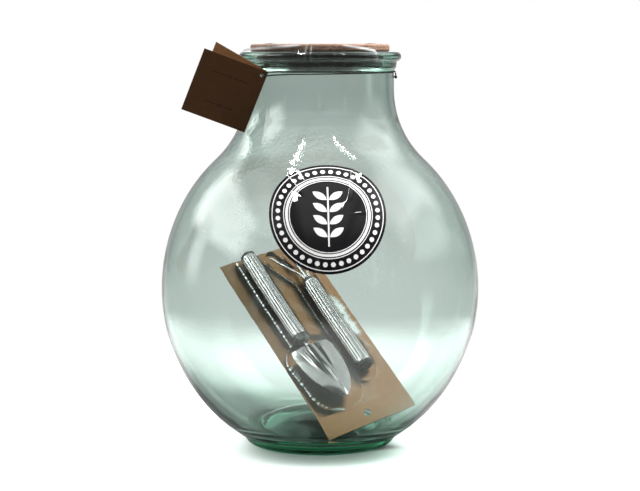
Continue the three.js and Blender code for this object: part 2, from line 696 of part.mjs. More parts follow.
/** Distance from a place on the card to a straight run on it. */
function distanceToRun(place, run) {
  const along = run.to.clone().sub(run.from);
  const share = THREE.MathUtils.clamp(place.clone().sub(run.from).dot(along) / along.lengthSq(), 0, 1);
  return place.distanceTo(run.from.clone().addScaledVector(along, share));
}

/** Height of the film over a round tool: over its top, then a straight slope down to the card. */
function tentHeight(distance, radius, lift) {
  const reach = radius + BLISTER_CLEARANCE;
  const touch = (reach * BLISTER_SLOPE) / Math.hypot(1, BLISTER_SLOPE);
  const atTouch = lift + Math.sqrt(reach ** 2 - touch ** 2);
  if (distance < touch) return lift + Math.sqrt(reach ** 2 - distance ** 2);
  return Math.max(0, atTouch - BLISTER_SLOPE * (distance - touch));
}

/** Height of the film above the card at a place on it. */
function filmHeight(x, y) {
  const place = new THREE.Vector2(x, y);
  const tents = ridges.map((ridge) => tentHeight(distanceToRun(place, ridge), ridge.radius, ridge.lift));
  const beyond = Math.max(0, distanceToRun(place, bladeMiddle) - BLADE_HALF_WIDTH - BLISTER_CLEARANCE);
  tents.push(Math.max(0, bladeMiddle.height - BLISTER_SLOPE * beyond));
  return Math.max(...tents);
}

/** The film, flat on the card round the edge and drawn over the tools. */
function blisterBody() {
  const [columns, rows] = [28, 48];
  const left = BLISTER_MARGIN - CARD_WIDTH / 2;
  const bottom = 2 * HANG_HOLE_INSET - CARD_LENGTH / 2;
  const top = CARD_LENGTH / 2 - BLISTER_MARGIN / 4;
  const surface = (lift) => Array.from({ length: rows + 1 }, (_, i) => (
    Array.from({ length: columns + 1 }, (__, j) => {
      const x = left - (2 * left * j) / columns;
      const y = bottom + ((top - bottom) * i) / rows;
      return new THREE.Vector3(x, y, filmHeight(x, y) + lift);
    })
  ));
  return sheet(surface(GAP + FILM), surface(GAP));
}

addPiece(pack, 'blister_film', blisterBody(), 0xeef2f1, 0.1, 0, 0.25);

// The pack leans at the lowest height that keeps its card clear of the glass, moved in if there is none.
pack.rotation.set(CARD_LEAN * DEGREE, CARD_ROLL * DEGREE, CARD_TURN * DEGREE, 'ZYX');
const cardEdge = [-1, -0.5, 0, 0.5, 1].flatMap((s) => [
  [s, -1], [s, 1], [-1, s], [1, s],
]).flatMap(([u, v]) => [0, -CARD_THICKNESS].map((z) => (
  new THREE.Vector3((u * CARD_WIDTH) / 2, (v * CARD_LENGTH) / 2, z)
)));

/** Sets the pack's place, and returns how near its card then comes to the glass. */
function placePack(offset, height) {
  pack.position.set(CARD_OFFSET[0] * offset, CARD_OFFSET[1] * offset, height);
  pack.updateMatrixWorld(true);
  const placed = cardEdge.map((point) => point.clone().applyMatrix4(pack.matrixWorld));
  return Math.min(...placed.map((point) => depthWithin(hollow, point)));
}

/** Raises the pack until it is clear of the glass, first at its own offset from the axis, then nearer to it. */
function settlePack() {
  const lowest = FLOOR_EDGE + (CARD_LENGTH / 2) * Math.sin(CARD_LEAN * DEGREE) * 0.8;
  for (let offset = 1; offset > -1; offset -= 0.05) {
    for (let height = lowest; height < RIM_HEIGHT; height += 0.05) {
      if (placePack(offset, height) >= GLASS_GAP) return;
    }
  }
}

settlePack();
root.add(pack);

export default root;
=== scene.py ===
"""Round green-glass terrarium: cork lid under shrink film, tag on a neck cord, round sticker, carded tools.

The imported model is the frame. The object's sizes are millimetres in the frame's own axes: +Z up, front
towards -Y. The studio's are metres.
"""

import logging
import math
from dataclasses import dataclass, field
from enum import Enum
from typing import Callable, Sequence

import bpy
import numpy as np
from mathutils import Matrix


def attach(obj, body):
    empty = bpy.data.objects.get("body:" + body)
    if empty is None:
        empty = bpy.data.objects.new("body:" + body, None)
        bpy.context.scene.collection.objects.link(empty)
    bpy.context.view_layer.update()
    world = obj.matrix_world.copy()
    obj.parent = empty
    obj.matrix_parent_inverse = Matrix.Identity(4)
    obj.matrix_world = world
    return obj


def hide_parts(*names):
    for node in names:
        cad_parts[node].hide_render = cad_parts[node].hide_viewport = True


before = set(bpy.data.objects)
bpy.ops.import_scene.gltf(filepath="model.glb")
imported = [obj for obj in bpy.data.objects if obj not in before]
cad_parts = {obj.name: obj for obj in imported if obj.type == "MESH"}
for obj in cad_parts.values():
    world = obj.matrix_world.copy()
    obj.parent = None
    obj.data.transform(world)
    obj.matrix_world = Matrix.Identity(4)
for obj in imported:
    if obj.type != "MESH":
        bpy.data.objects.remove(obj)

Array = np.ndarray
Material = bpy.types.Material
Node = bpy.types.Node
Socket = bpy.types.NodeSocket
Colour = tuple[float, float, float]
Pair = tuple[float, float]
Triple = tuple[float, float, float]
MM = 0.001
GAP = 0.3
LINE_STEP = 0.5
UPWARDS = np.array([0, 0, 1.0])
LOG = logging.getLogger("terrarium")
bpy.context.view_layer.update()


# Meshes


@dataclass
class Solid:
    """One closed body: points in millimetres, its faces, and where asked a place on the piece's own map."""

    points: Array
    faces: list[Array]
    uv: Array | None = None

    def volume(self) -> float:
        """Signed volume: a sixth of the sum of the corner triple products over all triangles.

        Returns:
            Cubic millimetres.
        """
        total = 0.0
        for block in self.faces:
            for k in range(1, block.shape[1] - 1):
                a, b, c = (self.points[block[:, n]] for n in (0, k, k + 1))
                total += float(np.einsum("ij,ij->i", a, np.cross(b, c)).sum()) / 6
        return total

    def outward(self) -> "Solid":
        """The same body with its faces pointing outwards."""
        if self.volume() < 0:
            self.faces = [block[:, ::-1] for block in self.faces]
        return self

    def joined(self, other: "Solid") -> "Solid":
        """This body and another one as a single mesh."""
        shifted = [block + len(self.points) for block in other.faces]
        return Solid(np.vstack([self.points, other.points]), self.faces + shifted)


def grid_faces(rows: int, columns: int, wrap_rows: bool = False, wrap_columns: bool = False) -> Array:
    """Quads between the neighbours of a grid whose point (i, j) is number i * columns + j.

    Args:
        rows: number of rows.
        columns: number of points in a row.
        wrap_rows: whether the last row joins the first.
        wrap_columns: whether each row is a closed ring.

    Returns:
        An array of four corner numbers for each quad.
    """
    i, j = np.meshgrid(
        np.arange(rows if wrap_rows else rows - 1),
        np.arange(columns if wrap_columns else columns - 1),
        indexing="ij",
    )
    below, beside = (i + 1) % rows, (j + 1) % columns
    corners = [i * columns + j, below * columns + j, below * columns + beside, i * columns + beside]
    return np.stack(corners, -1).reshape(-1, 4)


def capped(rows: Array, start: Array, end: Array) -> Solid:
    """A body of closed rings with a point at each end: neighbouring rings are joined, the end rings fan out.

    Args:
        rows: rings of points, in order.
        start: the point before the first ring.
        end: the point after the last.

    Returns:
        The closed body.
    """
    count, across = rows.shape[:2]
    first, last = count * across, count * across + 1
    j = np.arange(across)
    k = (j + 1) % across
    fans = np.vstack([
        np.stack([np.full(across, first), j, k], -1),
        np.stack([np.full(across, last), (count - 1) * across + k, (count - 1) * across + j], -1),
    ])
    points = np.vstack([rows.reshape(-1, 3), start, end])
    return Solid(points, [grid_faces(count, across, wrap_columns=True), fans]).outward()


def ringed(rows: Array) -> Solid:
    """A body like a ring: closed rings whose last joins the first."""
    count, across = rows.shape[:2]
    return Solid(rows.reshape(-1, 3), [grid_faces(count, across, True, True)]).outward()


def shell(top: Array, bottom: Array) -> Solid:
    """A sheet between two grids of points: both grids, and a strip of quads round the edge.

    Args:
        top: the upper grid.
        bottom: the lower one, of the same shape.

    Returns:
        The closed body.
    """
    rows, columns = top.shape[:2]
    number = np.arange(rows * columns).reshape(rows, columns)
    edge = np.concatenate([number[0, :-1], number[:-1, -1], number[-1, :0:-1], number[:0:-1, 0]])
    after = np.roll(edge, -1)
    under = rows * columns
    faces = grid_faces(rows, columns)
    rim = np.stack([edge, after, after + under, edge + under], -1)
    points = np.vstack([top.reshape(-1, 3), bottom.reshape(-1, 3)])
    return Solid(points, [faces[:, ::-1], faces + under, rim]).outward()


def even_turns(count: int) -> Array:
    """Even turns about an axis, in radians."""
    return np.arange(count) * 2 * math.pi / count


def lathe(profile: Array, sides: int, stretch: Array | None = None) -> Solid:
    """A profile turned about Z: the point at turn t is (r sin t, -r cos t, z).

    Args:
        profile: radius and height pairs; one that starts and ends on the axis is capped, others are rings.
        sides: steps round the axis.
        stretch: what to add to the radius at each profile point and turn, or None.

    Returns:
        The closed body.
    """
    turn = even_turns(sides)
    poles = profile[0, 0] < 1e-6 and profile[-1, 0] < 1e-6
    body = profile[1:-1] if poles else profile
    radius = body[:, :1] + (0 if stretch is None else stretch[1:-1] if poles else stretch)
    rows = np.stack(
        [radius * np.sin(turn), -radius * np.cos(turn), np.broadcast_to(body[:, 1:], (len(body), sides))], -1
    )
    if not poles:
        return ringed(rows)
    ends = [np.array([0, 0, z]) for z in (profile[0, 1], profile[-1, 1])]
    return capped(rows, *ends)


def arc(centre: Sequence[float], radius: float, start: float, end: float, steps: int) -> Array:
    """Points of an arc as radius and height pairs: centre + radius (cos a, sin a) for a in degrees."""
    a = np.radians(np.linspace(start, end, steps))
    return np.stack([centre[0] + radius * np.cos(a), centre[1] + radius * np.sin(a)], -1)


def along(points: Array) -> Array:
    """Distance from the first point along a line of points."""
    return np.concatenate([[0], np.cumsum(np.linalg.norm(np.diff(points, axis=0), axis=1))])


def resampled(points: Array, marks: Array) -> Array:
    """The points of a line at the given distances along it."""
    run = along(points)
    return np.stack([np.interp(marks, run, points[:, k]) for k in range(points.shape[1])], -1)


def hump(x: Array) -> Array:
    """A smooth hump: 1 at zero, and about a third of that at one."""
    return np.exp(-(x**2))


def rounded(points: Array, spread: float) -> Array:
    """A line that starts and ends on the axis, its corners rounded by a bell-weighted mean of nearby points.

    Args:
        points: radius and height pairs.
        spread: the bell's half width in millimetres.

    Returns:
        The line sampled at the line step.
    """
    line = resampled(points, np.arange(0, along(points)[-1], LINE_STEP))
    reach = int(4 * spread / LINE_STEP)
    flip = np.array([-1, 1])
    padded = np.vstack([line[reach:0:-1] * flip, line, line[-2:-reach - 2:-1] * flip])
    bell = np.exp(-0.5 * (np.arange(-reach, reach + 1) * LINE_STEP / spread) ** 2)
    smooth = np.stack([np.convolve(padded[:, k], bell / bell.sum(), "valid") for k in (0, 1)], -1)
    smooth[[0, -1], 0] = 0
    return smooth


def cross_axes(path: Array, up: Array) -> tuple[Array, Array]:
    """Two unit directions across a path at each point: side = tangent × up, and rise = side × tangent.

    Args:
        path: points in a row.
        up: a direction that the path never follows.

    Returns:
        The sides and the rises.
    """
    tangent = np.gradient(path, axis=0)
    tangent /= np.linalg.norm(tangent, axis=1, keepdims=True)
    side = np.cross(tangent, up)
    side /= np.linalg.norm(side, axis=1, keepdims=True)
    return side, np.cross(side, tangent)


def tube(path: Array, radius: Array, sides: int, up: Array) -> Array:
    """Rings round a path: centre + radius (cos a · side + sin a · rise).

    Args:
        path: points in a row.
        radius: the ring's radius at each point.
        sides: points in a ring.
        up: a direction that the path never follows.

    Returns:
        An array of rings of points.
    """
    side, rise = cross_axes(path, up)
    a = even_turns(sides)
    ring = side[:, None] * np.cos(a)[:, None] + rise[:, None] * np.sin(a)[:, None]
    return path[:, None] + ring * np.asarray(radius).reshape(-1, 1, 1)


def wire(path: Array, radius: float, sides: int, up: Array) -> Solid:
    """A round wire with domed ends: at each end the radius falls as a quarter circle over the last radius.

    Args:
        path: points along its middle.
        radius: its radius.
        sides: points in a ring.
        up: a direction that the path never follows.

    Returns:
        The closed body.
    """
    run = along(path)
    dome = radius * (1 - np.cos(np.linspace(0.15, math.pi / 2, 6)))
    straight = np.linspace(radius, run[-1] - radius, len(path) * 4)
    marks = np.unique(np.concatenate([dome, straight, run[-1] - dome]))
    points = resampled(path, marks)
    inset = np.clip(np.minimum(marks, run[-1] - marks) / radius, 0, 1)
    return capped(tube(points, radius * np.sqrt(1 - (1 - inset) ** 2), sides, up), path[0], path[-1])


def spline(points: Array, count: int) -> Array:
    """A smooth line through points: a cubic between each two, with slopes along their neighbours.

    Args:
        points: the points that it goes through.
        count: the number of points to return.

    Returns:
        Points at even steps of distance.
    """
    run = along(points)
    marks = np.linspace(0, run[-1], count)
    slope = np.gradient(points, run, axis=0)
    k = np.clip(np.searchsorted(run, marks, "right") - 1, 0, len(points) - 2)
    h = (run[k + 1] - run[k])[:, None]
    t = ((marks - run[k]) / h[:, 0])[:, None]
    return (
        points[k] * (1 + 2 * t) * (1 - t) ** 2 + slope[k] * h * t * (1 - t) ** 2
        + points[k + 1] * t**2 * (3 - 2 * t) + slope[k + 1] * h * t**2 * (t - 1)
    )


def turned(axis: int, degrees: float) -> Array:
    """The matrix of a turn about an axis: 0 is X, 1 is Y and 2 is Z.

    Args:
        axis: the axis's number.
        degrees: the turn, right-handed.

    Returns:
        The matrix.
    """
    c, s = math.cos(math.radians(degrees)), math.sin(math.radians(degrees))
    a, b = (axis + 1) % 3, (axis + 2) % 3
    matrix = np.eye(3)
    matrix[a, a], matrix[a, b], matrix[b, a], matrix[b, b] = c, -s, s, c
    return matrix


@dataclass(frozen=True)
class Placement:
    """A place and a turn: a local point goes to origin + turn · point."""

    origin: Array
    turn: Array

    def at(self, points: Array) -> Array:
        """Local points in the outer frame."""
        return points @ self.turn.T + self.origin

    def within(self, outer: "Placement") -> "Placement":
        """This placement seen from the frame that the outer one is in."""
        return Placement(outer.at(self.origin), outer.turn @ self.turn)

    def slid(self, distance: float) -> "Placement":
        """The same frame moved along its own Y."""
        return Placement(self.at(np.array([0, distance, 0])), self.turn)

    def set(self, solid: Solid) -> Solid:
        """A body moved from the local frame to the outer one."""
        return Solid(self.at(solid.points), solid.faces, solid.uv)


def add_piece(
    name: str,
    solid: Solid,
    material: Material,
    body: str,
    node: str,
    sharp: float = 35,
) -> bpy.types.Object:
    """Makes an object at the origin from a body in millimetres, and lets it stand for a CAD node.

    Args:
        name: the piece's name.
        solid: its points and faces.
        material: its finish.
        body: the CAD body that it rides on.
        node: the CAD node that it replaces.
        sharp: edges that bend by more degrees than this stay sharp.

    Returns:
        The new object.
    """
    mesh = bpy.data.meshes.new(name)
    faces = [face for block in solid.faces for face in block.tolist()]
    mesh.from_pydata((solid.points * MM).tolist(), [], faces)
    mesh.polygons.foreach_set("use_smooth", np.ones(len(mesh.polygons), bool))
    mesh.set_sharp_from_angle(angle=math.radians(sharp))
    if solid.uv is not None:
        corner = np.empty(len(mesh.loops), np.int32)
        mesh.loops.foreach_get("vertex_index", corner)
        layer = mesh.uv_layers.new(name="Map")
        layer.uv.foreach_set("vector", solid.uv[corner].astype(np.float32).ravel())
    mesh.materials.append(material)
    mesh.validate()
    piece = bpy.data.objects.new(name, mesh)
    bpy.context.scene.collection.objects.link(piece)
    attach(piece, body)
    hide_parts(node)
    LOG.info("%s: %d faces on %s", name, len(mesh.polygons), body)
    return piece


# Finishes


class Field:
    """A value that changes over a surface: a node's output, with arithmetic that adds Math nodes."""

    def __init__(self, recipe: "Recipe", socket: Socket) -> None:
        """Holds a socket of a recipe's tree."""
        self.recipe = recipe
        self.socket = socket

    def math(self, operation: str, *others: "Field | float") -> "Field":
        """The result of one Math node with this value first."""
        node = self.recipe.add("ShaderNodeMath", operation=operation)
        for value, socket in zip((self, *others), node.inputs):
            self.recipe.put(value, socket)
        return Field(self.recipe, node.outputs[0])

    def __add__(self, other: "Field | float") -> "Field":
        """Sum."""
        return self.math("ADD", other)

    def __sub__(self, other: "Field | float") -> "Field":
        """Difference."""
        return self.math("SUBTRACT", other)

    def __mul__(self, other: "Field | float") -> "Field":
        """Product."""
        return self.math("MULTIPLY", other)

    def __abs__(self) -> "Field":
        """Size without sign."""
        return self.math("ABSOLUTE")

    def most(self, other: "Field | float") -> "Field":
        """The larger of two values."""
        return self.math("MAXIMUM", other)

    def step(self, low: float, high: float, to_low: float = 0.0, to_high: float = 1.0) -> "Field":
        """Goes smoothly from to_low at low to to_high at high."""
        node = self.recipe.add("ShaderNodeMapRange", interpolation_type="SMOOTHSTEP")
        for value, socket in zip((self, low, high, to_low, to_high), node.inputs):
            self.recipe.put(value, socket)
        return Field(self.recipe, node.outputs[0])

    def band(self, middle: float, half: float, soft: float) -> "Field":
        """One within half of middle and zero beyond, over a soft edge."""
        return abs(self - middle).step(half - soft, half + soft, 1.0, 0.0)


Value = Field | Socket | float | Sequence[float]


class Recipe:
    """A node tree under construction."""

    def __init__(self, tree: bpy.types.NodeTree) -> None:
        """Starts from an empty tree."""
        self.tree = tree
        tree.nodes.clear()

    def add(self, kind: str, **settings: object) -> Node:
        """A new node with some of its settings given."""
        node = self.tree.nodes.new(kind)
        for key, value in settings.items():
            setattr(node, key, value)
        return node

    def put(self, value: Value, socket: Socket) -> None:
        """Links a value to a socket, or sets the socket to a plain number or colour.

        Args:
            value: what the socket gets.
            socket: an input of one of the tree's nodes.
        """
        if isinstance(value, Field):
            value = value.socket
        if isinstance(value, Socket):
            self.tree.links.new(value, socket)
        elif isinstance(socket.default_value, float):
            socket.default_value = value
        else:
            wanted = tuple(value)
            socket.default_value = wanted + (1.0,) * (len(socket.default_value) - len(wanted))

    def fill(self, node: Node, **values: Value) -> Node:
        """Puts values on a node's sockets, named with _ for a space."""
        for key, value in values.items():
            self.put(value, node.inputs[key.replace("_", " ")])
        return node

    def coordinates(self, scale: Sequence[float] = (1, 1, 1), kind: str = "Object") -> Socket:
        """Object coordinates, or the piece's own map, stretched by a Mapping node."""
        source = self.add("ShaderNodeTexCoord").outputs[kind]
        mapping = self.fill(self.add("ShaderNodeMapping"), Vector=source, Scale=scale)
        return mapping.outputs[0]

    def axes(self, vector: Value) -> list[Field]:
        """The three parts of a vector."""
        node = self.fill(self.add("ShaderNodeSeparateXYZ"), Vector=vector)
        return [Field(self, socket) for socket in node.outputs]

    def noise(
        self, vector: Value, scale: Value, detail: float = 3, rough: float = 0.5, twist: float = 0
    ) -> Field:
        """Fractal noise from 0 to 1."""
        node = self.fill(self.add("ShaderNodeTexNoise"), Vector=vector, Scale=scale)
        self.fill(node, Detail=detail, Roughness=rough, Distortion=twist)
        return Field(self, node.outputs[0])

    def cells(self, vector: Value, scale: Value) -> Node:
        """A Voronoi node."""
        return self.fill(self.add("ShaderNodeTexVoronoi"), Vector=vector, Scale=scale)

    def blend(self, share: Value, low: Value, high: Value) -> Socket:
        """A colour between two, by a share from 0 to 1."""
        node = self.add("ShaderNodeMix", data_type="RGBA")
        for value, number in ((share, 0), (low, 6), (high, 7)):
            self.put(value, node.inputs[number])
        return node.outputs[2]

    def bump(self, height: Value, strength: float, distance: float) -> Socket:
        """A normal tilted by a height."""
        node = self.fill(self.add("ShaderNodeBump"), Height=height, Strength=strength, Distance=distance)
        return node.outputs[0]


class Effect(Enum):
    """Effects that more than one finish uses, each a node group built once."""

    FIBRES = "paper fibres"
    GRIME = "finger marks"
    RIPPLE = "ripple"

    def tree(self) -> bpy.types.NodeTree:
        """The effect's node group, made at its first use.

        Returns:
            A tree with the inputs Vector and Scale, and the outputs that its maker names.
        """
        known = bpy.data.node_groups.get(self.value)
        if known is not None:
            return known
        tree = bpy.data.node_groups.new(self.value, "ShaderNodeTree")
        for name, kind in (("Vector", "NodeSocketVector"), ("Scale", "NodeSocketFloat")):
            tree.interface.new_socket(name=name, in_out="INPUT", socket_type=kind)
        makers = {Effect.FIBRES: self._fibres, Effect.GRIME: self._grime, Effect.RIPPLE: self._ripple}
        recipe = Recipe(tree)
        given = recipe.add("NodeGroupInput")
        found = makers[self](recipe, given.outputs["Vector"], Field(recipe, given.outputs["Scale"]))
        for name in found:
            tree.interface.new_socket(name=name, in_out="OUTPUT", socket_type="NodeSocketFloat")
        recipe.fill(recipe.add("NodeGroupOutput"), **found)
        return tree

    @staticmethod
    def _fibres(recipe: Recipe, vector: Value, scale: Field) -> dict[str, Field]:
        """Paper: cloudy pulp, short fibres as thin noise ridges, and a few specks.

        Args:
            recipe: the group's tree.
            vector: the place.
            scale: how fine it is.

        Returns:
            A tone and a height.
        """
        pulp = recipe.noise(vector, scale, 4, 0.6)
        fibre = recipe.noise(vector, scale * 5, 2, 0.5, 1.5)
        ridge = abs(fibre - 0.5).step(0.0, 0.06, 1.0, 0.0)
        speck = Field(recipe, recipe.cells(vector, scale * 3).outputs["Distance"]).step(0.05, 0.16, 1.0, 0.0)
        tone = pulp * 0.55 + ridge * 0.22 + 0.12 - speck * 0.25
        return {"Tone": tone, "Height": pulp * 0.4 + ridge * 0.6}

    @staticmethod
    def _grime(recipe: Recipe, vector: Value, scale: Field) -> dict[str, Field]:
        """Finger marks: broad patches times fine streaks.

        Args:
            recipe: the group's tree.
            vector: the place.
            scale: how fine it is.

        Returns:
            The marks' strength.
        """
        patch = recipe.noise(vector, scale, 3, 0.55).step(0.45, 0.75)
        streak = recipe.noise(vector, scale * 9, 4, 0.65, 0.8)
        return {"Mark": patch * streak}

    @staticmethod
    def _ripple(recipe: Recipe, vector: Value, scale: Field) -> dict[str, Field]:
        """Waves left by shaping: a slow swell, a quicker one, and a fine orange peel.

        Args:
            recipe: the group's tree.
            vector: the place.
            scale: how fine it is.

        Returns:
            A height.
        """
        swell = recipe.noise(vector, scale, 1, 0.4)
        wave = recipe.noise(vector, scale * 4, 1, 0.4)
        peel = recipe.noise(vector, scale * 26, 1, 0.5)
        return {"Height": swell * 1.0 + wave * 0.22 + peel * 0.03}


class Surface(Recipe):
    """A material's tree with one Principled shader on its output."""

    def __init__(self, tree: bpy.types.NodeTree) -> None:
        """Starts with the shader linked to the output."""
        super().__init__(tree)
        self.shader = self.add("ShaderNodeBsdfPrincipled")
        self.output = self.add("ShaderNodeOutputMaterial")
        tree.links.new(self.shader.outputs[0], self.output.inputs["Surface"])

    def dress(self, **values: Value) -> None:
        """Puts values on the shader's sockets, named with _ for a space."""
        self.fill(self.shader, **values)

    def effect(self, kind: Effect, vector: Value, scale: float) -> dict[str, Field]:
        """Places a shared effect, and returns its outputs by name."""
        node = self.fill(self.add("ShaderNodeGroup", node_tree=kind.tree()), Vector=vector, Scale=scale)
        return {socket.name: Field(self, socket) for socket in node.outputs}

    def let_lamps_through(self, tint: Colour) -> None:
        """Lets rays from lamps pass a clear surface unbent, with a tint, to reach what is behind it.

        Args:
            tint: the colour that they keep.
        """
        path = self.add("ShaderNodeLightPath")
        clear = self.fill(self.add("ShaderNodeBsdfTransparent"), Color=tint)
        mix = self.add("ShaderNodeMixShader")
        sources = (path.outputs["Is Shadow Ray"], self.shader.outputs[0], clear.outputs[0])
        for source, socket in zip(sources, mix.inputs):
            self.tree.links.new(source, socket)
        self.tree.links.new(mix.outputs[0], self.output.inputs["Surface"])


@dataclass(frozen=True)
class Finish:
    """A finish with a name; each kind paints its surface in its own way."""

    name: str

    def build(self) -> Material:
        """The painted material."""
        material = bpy.data.materials.new(self.name)
        material.use_nodes = True
        self.paint(Surface(material.node_tree))
        return material

    def paint(self, recipe: Surface) -> None:
        """Sets the shader.

        Args:
            recipe: the material's tree.
        """
        raise NotImplementedError


@dataclass(frozen=True)
class BottleGlass(Finish):
    """Blown glass with a green cast that deepens with thickness.

    The shoulder's four heights, in metres, are where the orange peel starts, is full, starts to fade and
    ends. The heel's two are where the painted shade on the foot starts to clear and is gone.
    """

    tint: Colour = (0.13, 0.78, 0.53)
    density: float = 21.0
    ior: float = 1.5
    clear: Colour = (0.985, 1.0, 0.992)
    shadow: Colour = (0.80, 0.81, 0.80)
    ripple: float = 0.14
    ripple_scale: float = 14.0
    peel: float = 0.6
    peel_scale: float = 270
    peel_right: float = 0.5
    shoulder: tuple[float, float, float, float] = (0.245, 0.262, 0.292, 0.304)
    # Painted shade: a dull tint that darkens the foot like the shadow under the jar.
    heel_shade: Colour = (0.36, 0.29, 0.31)
    heel: Pair = (0.002, 0.014)

    def paint(self, recipe: Surface) -> None:
        """Clear glass, green inside, rippled, with orange peel on the shoulder and painted shade darkening
        the foot.

        Args:
            recipe: the material's tree.
        """
        place = recipe.coordinates()
        across, _, up = recipe.axes(place)
        height = recipe.effect(Effect.RIPPLE, place, self.ripple_scale)["Height"]
        start, full, fading, end = self.shoulder
        zone = up.step(start, full, 0.0, self.peel) * up.step(fading, end, 1.0, 0.0)
        zone = zone * across.step(0.0, 0.03, 1.0, self.peel_right)
        peel = recipe.noise(place, self.peel_scale, 1, 0.5) * zone
        # The base colour darkens towards the foot: painted shade for the shadowed heel.
        recipe.dress(
            Base_Color=recipe.blend(up.step(*self.heel), self.heel_shade, self.clear), Roughness=0.0,
            IOR=self.ior, Transmission_Weight=1.0, Normal=recipe.bump(height + peel, self.ripple, 0.0015),
        )
        recipe.let_lamps_through(self.shadow)
        inside = recipe.fill(recipe.add("ShaderNodeVolumeAbsorption"), Color=self.tint, Density=self.density)
        recipe.tree.links.new(inside.outputs[0], recipe.output.inputs["Volume"])


@dataclass(frozen=True)
class ClearFilm(Finish):
    """Thin clear packing film: see-through, with a faint mirror shine, and painted glare where the piece's
    map raises the share that mirrors.
    """

    scale: float
    tone: Colour = (0.95, 0.955, 0.955)

    def paint(self, recipe: Surface) -> None:
        """A bright gloss dulled by finger marks, which covers the share that the piece's map gives; where
        that share is high it is painted glare.

        Args:
            recipe: the material's tree.
        """
        mark = recipe.effect(Effect.GRIME, recipe.coordinates(), self.scale)["Mark"]
        share, _, _ = recipe.axes(recipe.coordinates(kind="UV"))
        # Alpha is the share from the map: painted glare and highlights where it is high.
        recipe.dress(Base_Color=self.tone, Metallic=1.0, Roughness=mark * 0.2 + 0.06, Alpha=share)


@dataclass(frozen=True)
class Cork(Finish):
    """Pressed cork: brown grains of several tones with dark pores."""

    dark: Colour
    light: Colour

    def paint(self, recipe: Surface) -> None:
        """Cells for the grains, noise for their tone, and a pitted surface.

        Args:
            recipe: the material's tree.
        """
        place = recipe.coordinates()
        warped = recipe.noise(place, 90, 2)
        grains = recipe.cells(place, 260).outputs["Color"]
        tone = Field(recipe, recipe.fill(recipe.add("ShaderNodeSeparateColor"), Color=grains).outputs[0])
        streak = recipe.noise(recipe.coordinates((40, 40, 300)), 1.5, 5, 0.65)
        pore = Field(recipe, recipe.cells(place, 150).outputs["Distance"]).step(0.1, 0.3, 1.0, 0.0)
        share = tone * 0.35 + streak * 0.55 + warped * 0.25 - pore * 0.5
        recipe.dress(
            Base_Color=recipe.blend(share, self.dark, self.light), Roughness=share * -0.15 + 0.85,
            Normal=recipe.bump(share, 0.5, 0.0006),
        )


@dataclass(frozen=True)
class Paperboard(Finish):
    """Card or paper with visible fibres, and where asked a plain printed ornament.

    A rule's level and half length are in millimetres from the leaf's middle.
    """

    dark: Colour
    light: Colour
    scale: float
    ink: Colour | None = None
    rules: tuple[Pair, ...] = ((14.0, 17.0), (-15.0, 13.0))

    def paint(self, recipe: Surface) -> None:
        """Fibre tones, a slightly rough surface, and the ornament on the piece's own map.

        Args:
            recipe: the material's tree.
        """
        place = recipe.coordinates()
        fibres = recipe.effect(Effect.FIBRES, place, self.scale)
        cloud = recipe.noise(place, 18, 3, 0.55)
        share = fibres["Tone"] * 0.75 + cloud * 0.45 - 0.1
        colour = recipe.blend(share, self.dark, self.light)
        if self.ink is not None:
            colour = recipe.blend(self._ornament(recipe) * 0.8, colour, self.ink)
        recipe.dress(
            Base_Color=colour, Roughness=share * -0.2 + 0.82, Specular_IOR_Level=0.2,
            Normal=recipe.bump(fibres["Height"], 0.35, 0.0004),
        )

    def _ornament(self, recipe: Recipe) -> Field:
        """Two plain rules, each broken by a small lozenge.

        Args:
            recipe: the tree to add to.

        Returns:
            One on the ornament and zero beside it.
        """
        x, y, _ = recipe.axes(recipe.coordinates(kind="UV"))
        x = abs(x)
        marks = []
        for level, reach in self.rules:
            up = abs(y - level)
            rule = up.step(0.22, 0.42, 1.0, 0.0) * x.step(reach, reach + 0.5, 1.0, 0.0) * x.step(3.4, 3.9)
            away = x * 0.7 + up
            marks.append(rule.most(away.step(1.7, 2.0, 1.0, 0.0) * away.step(0.9, 1.2)))
        return marks[0].most(marks[1])


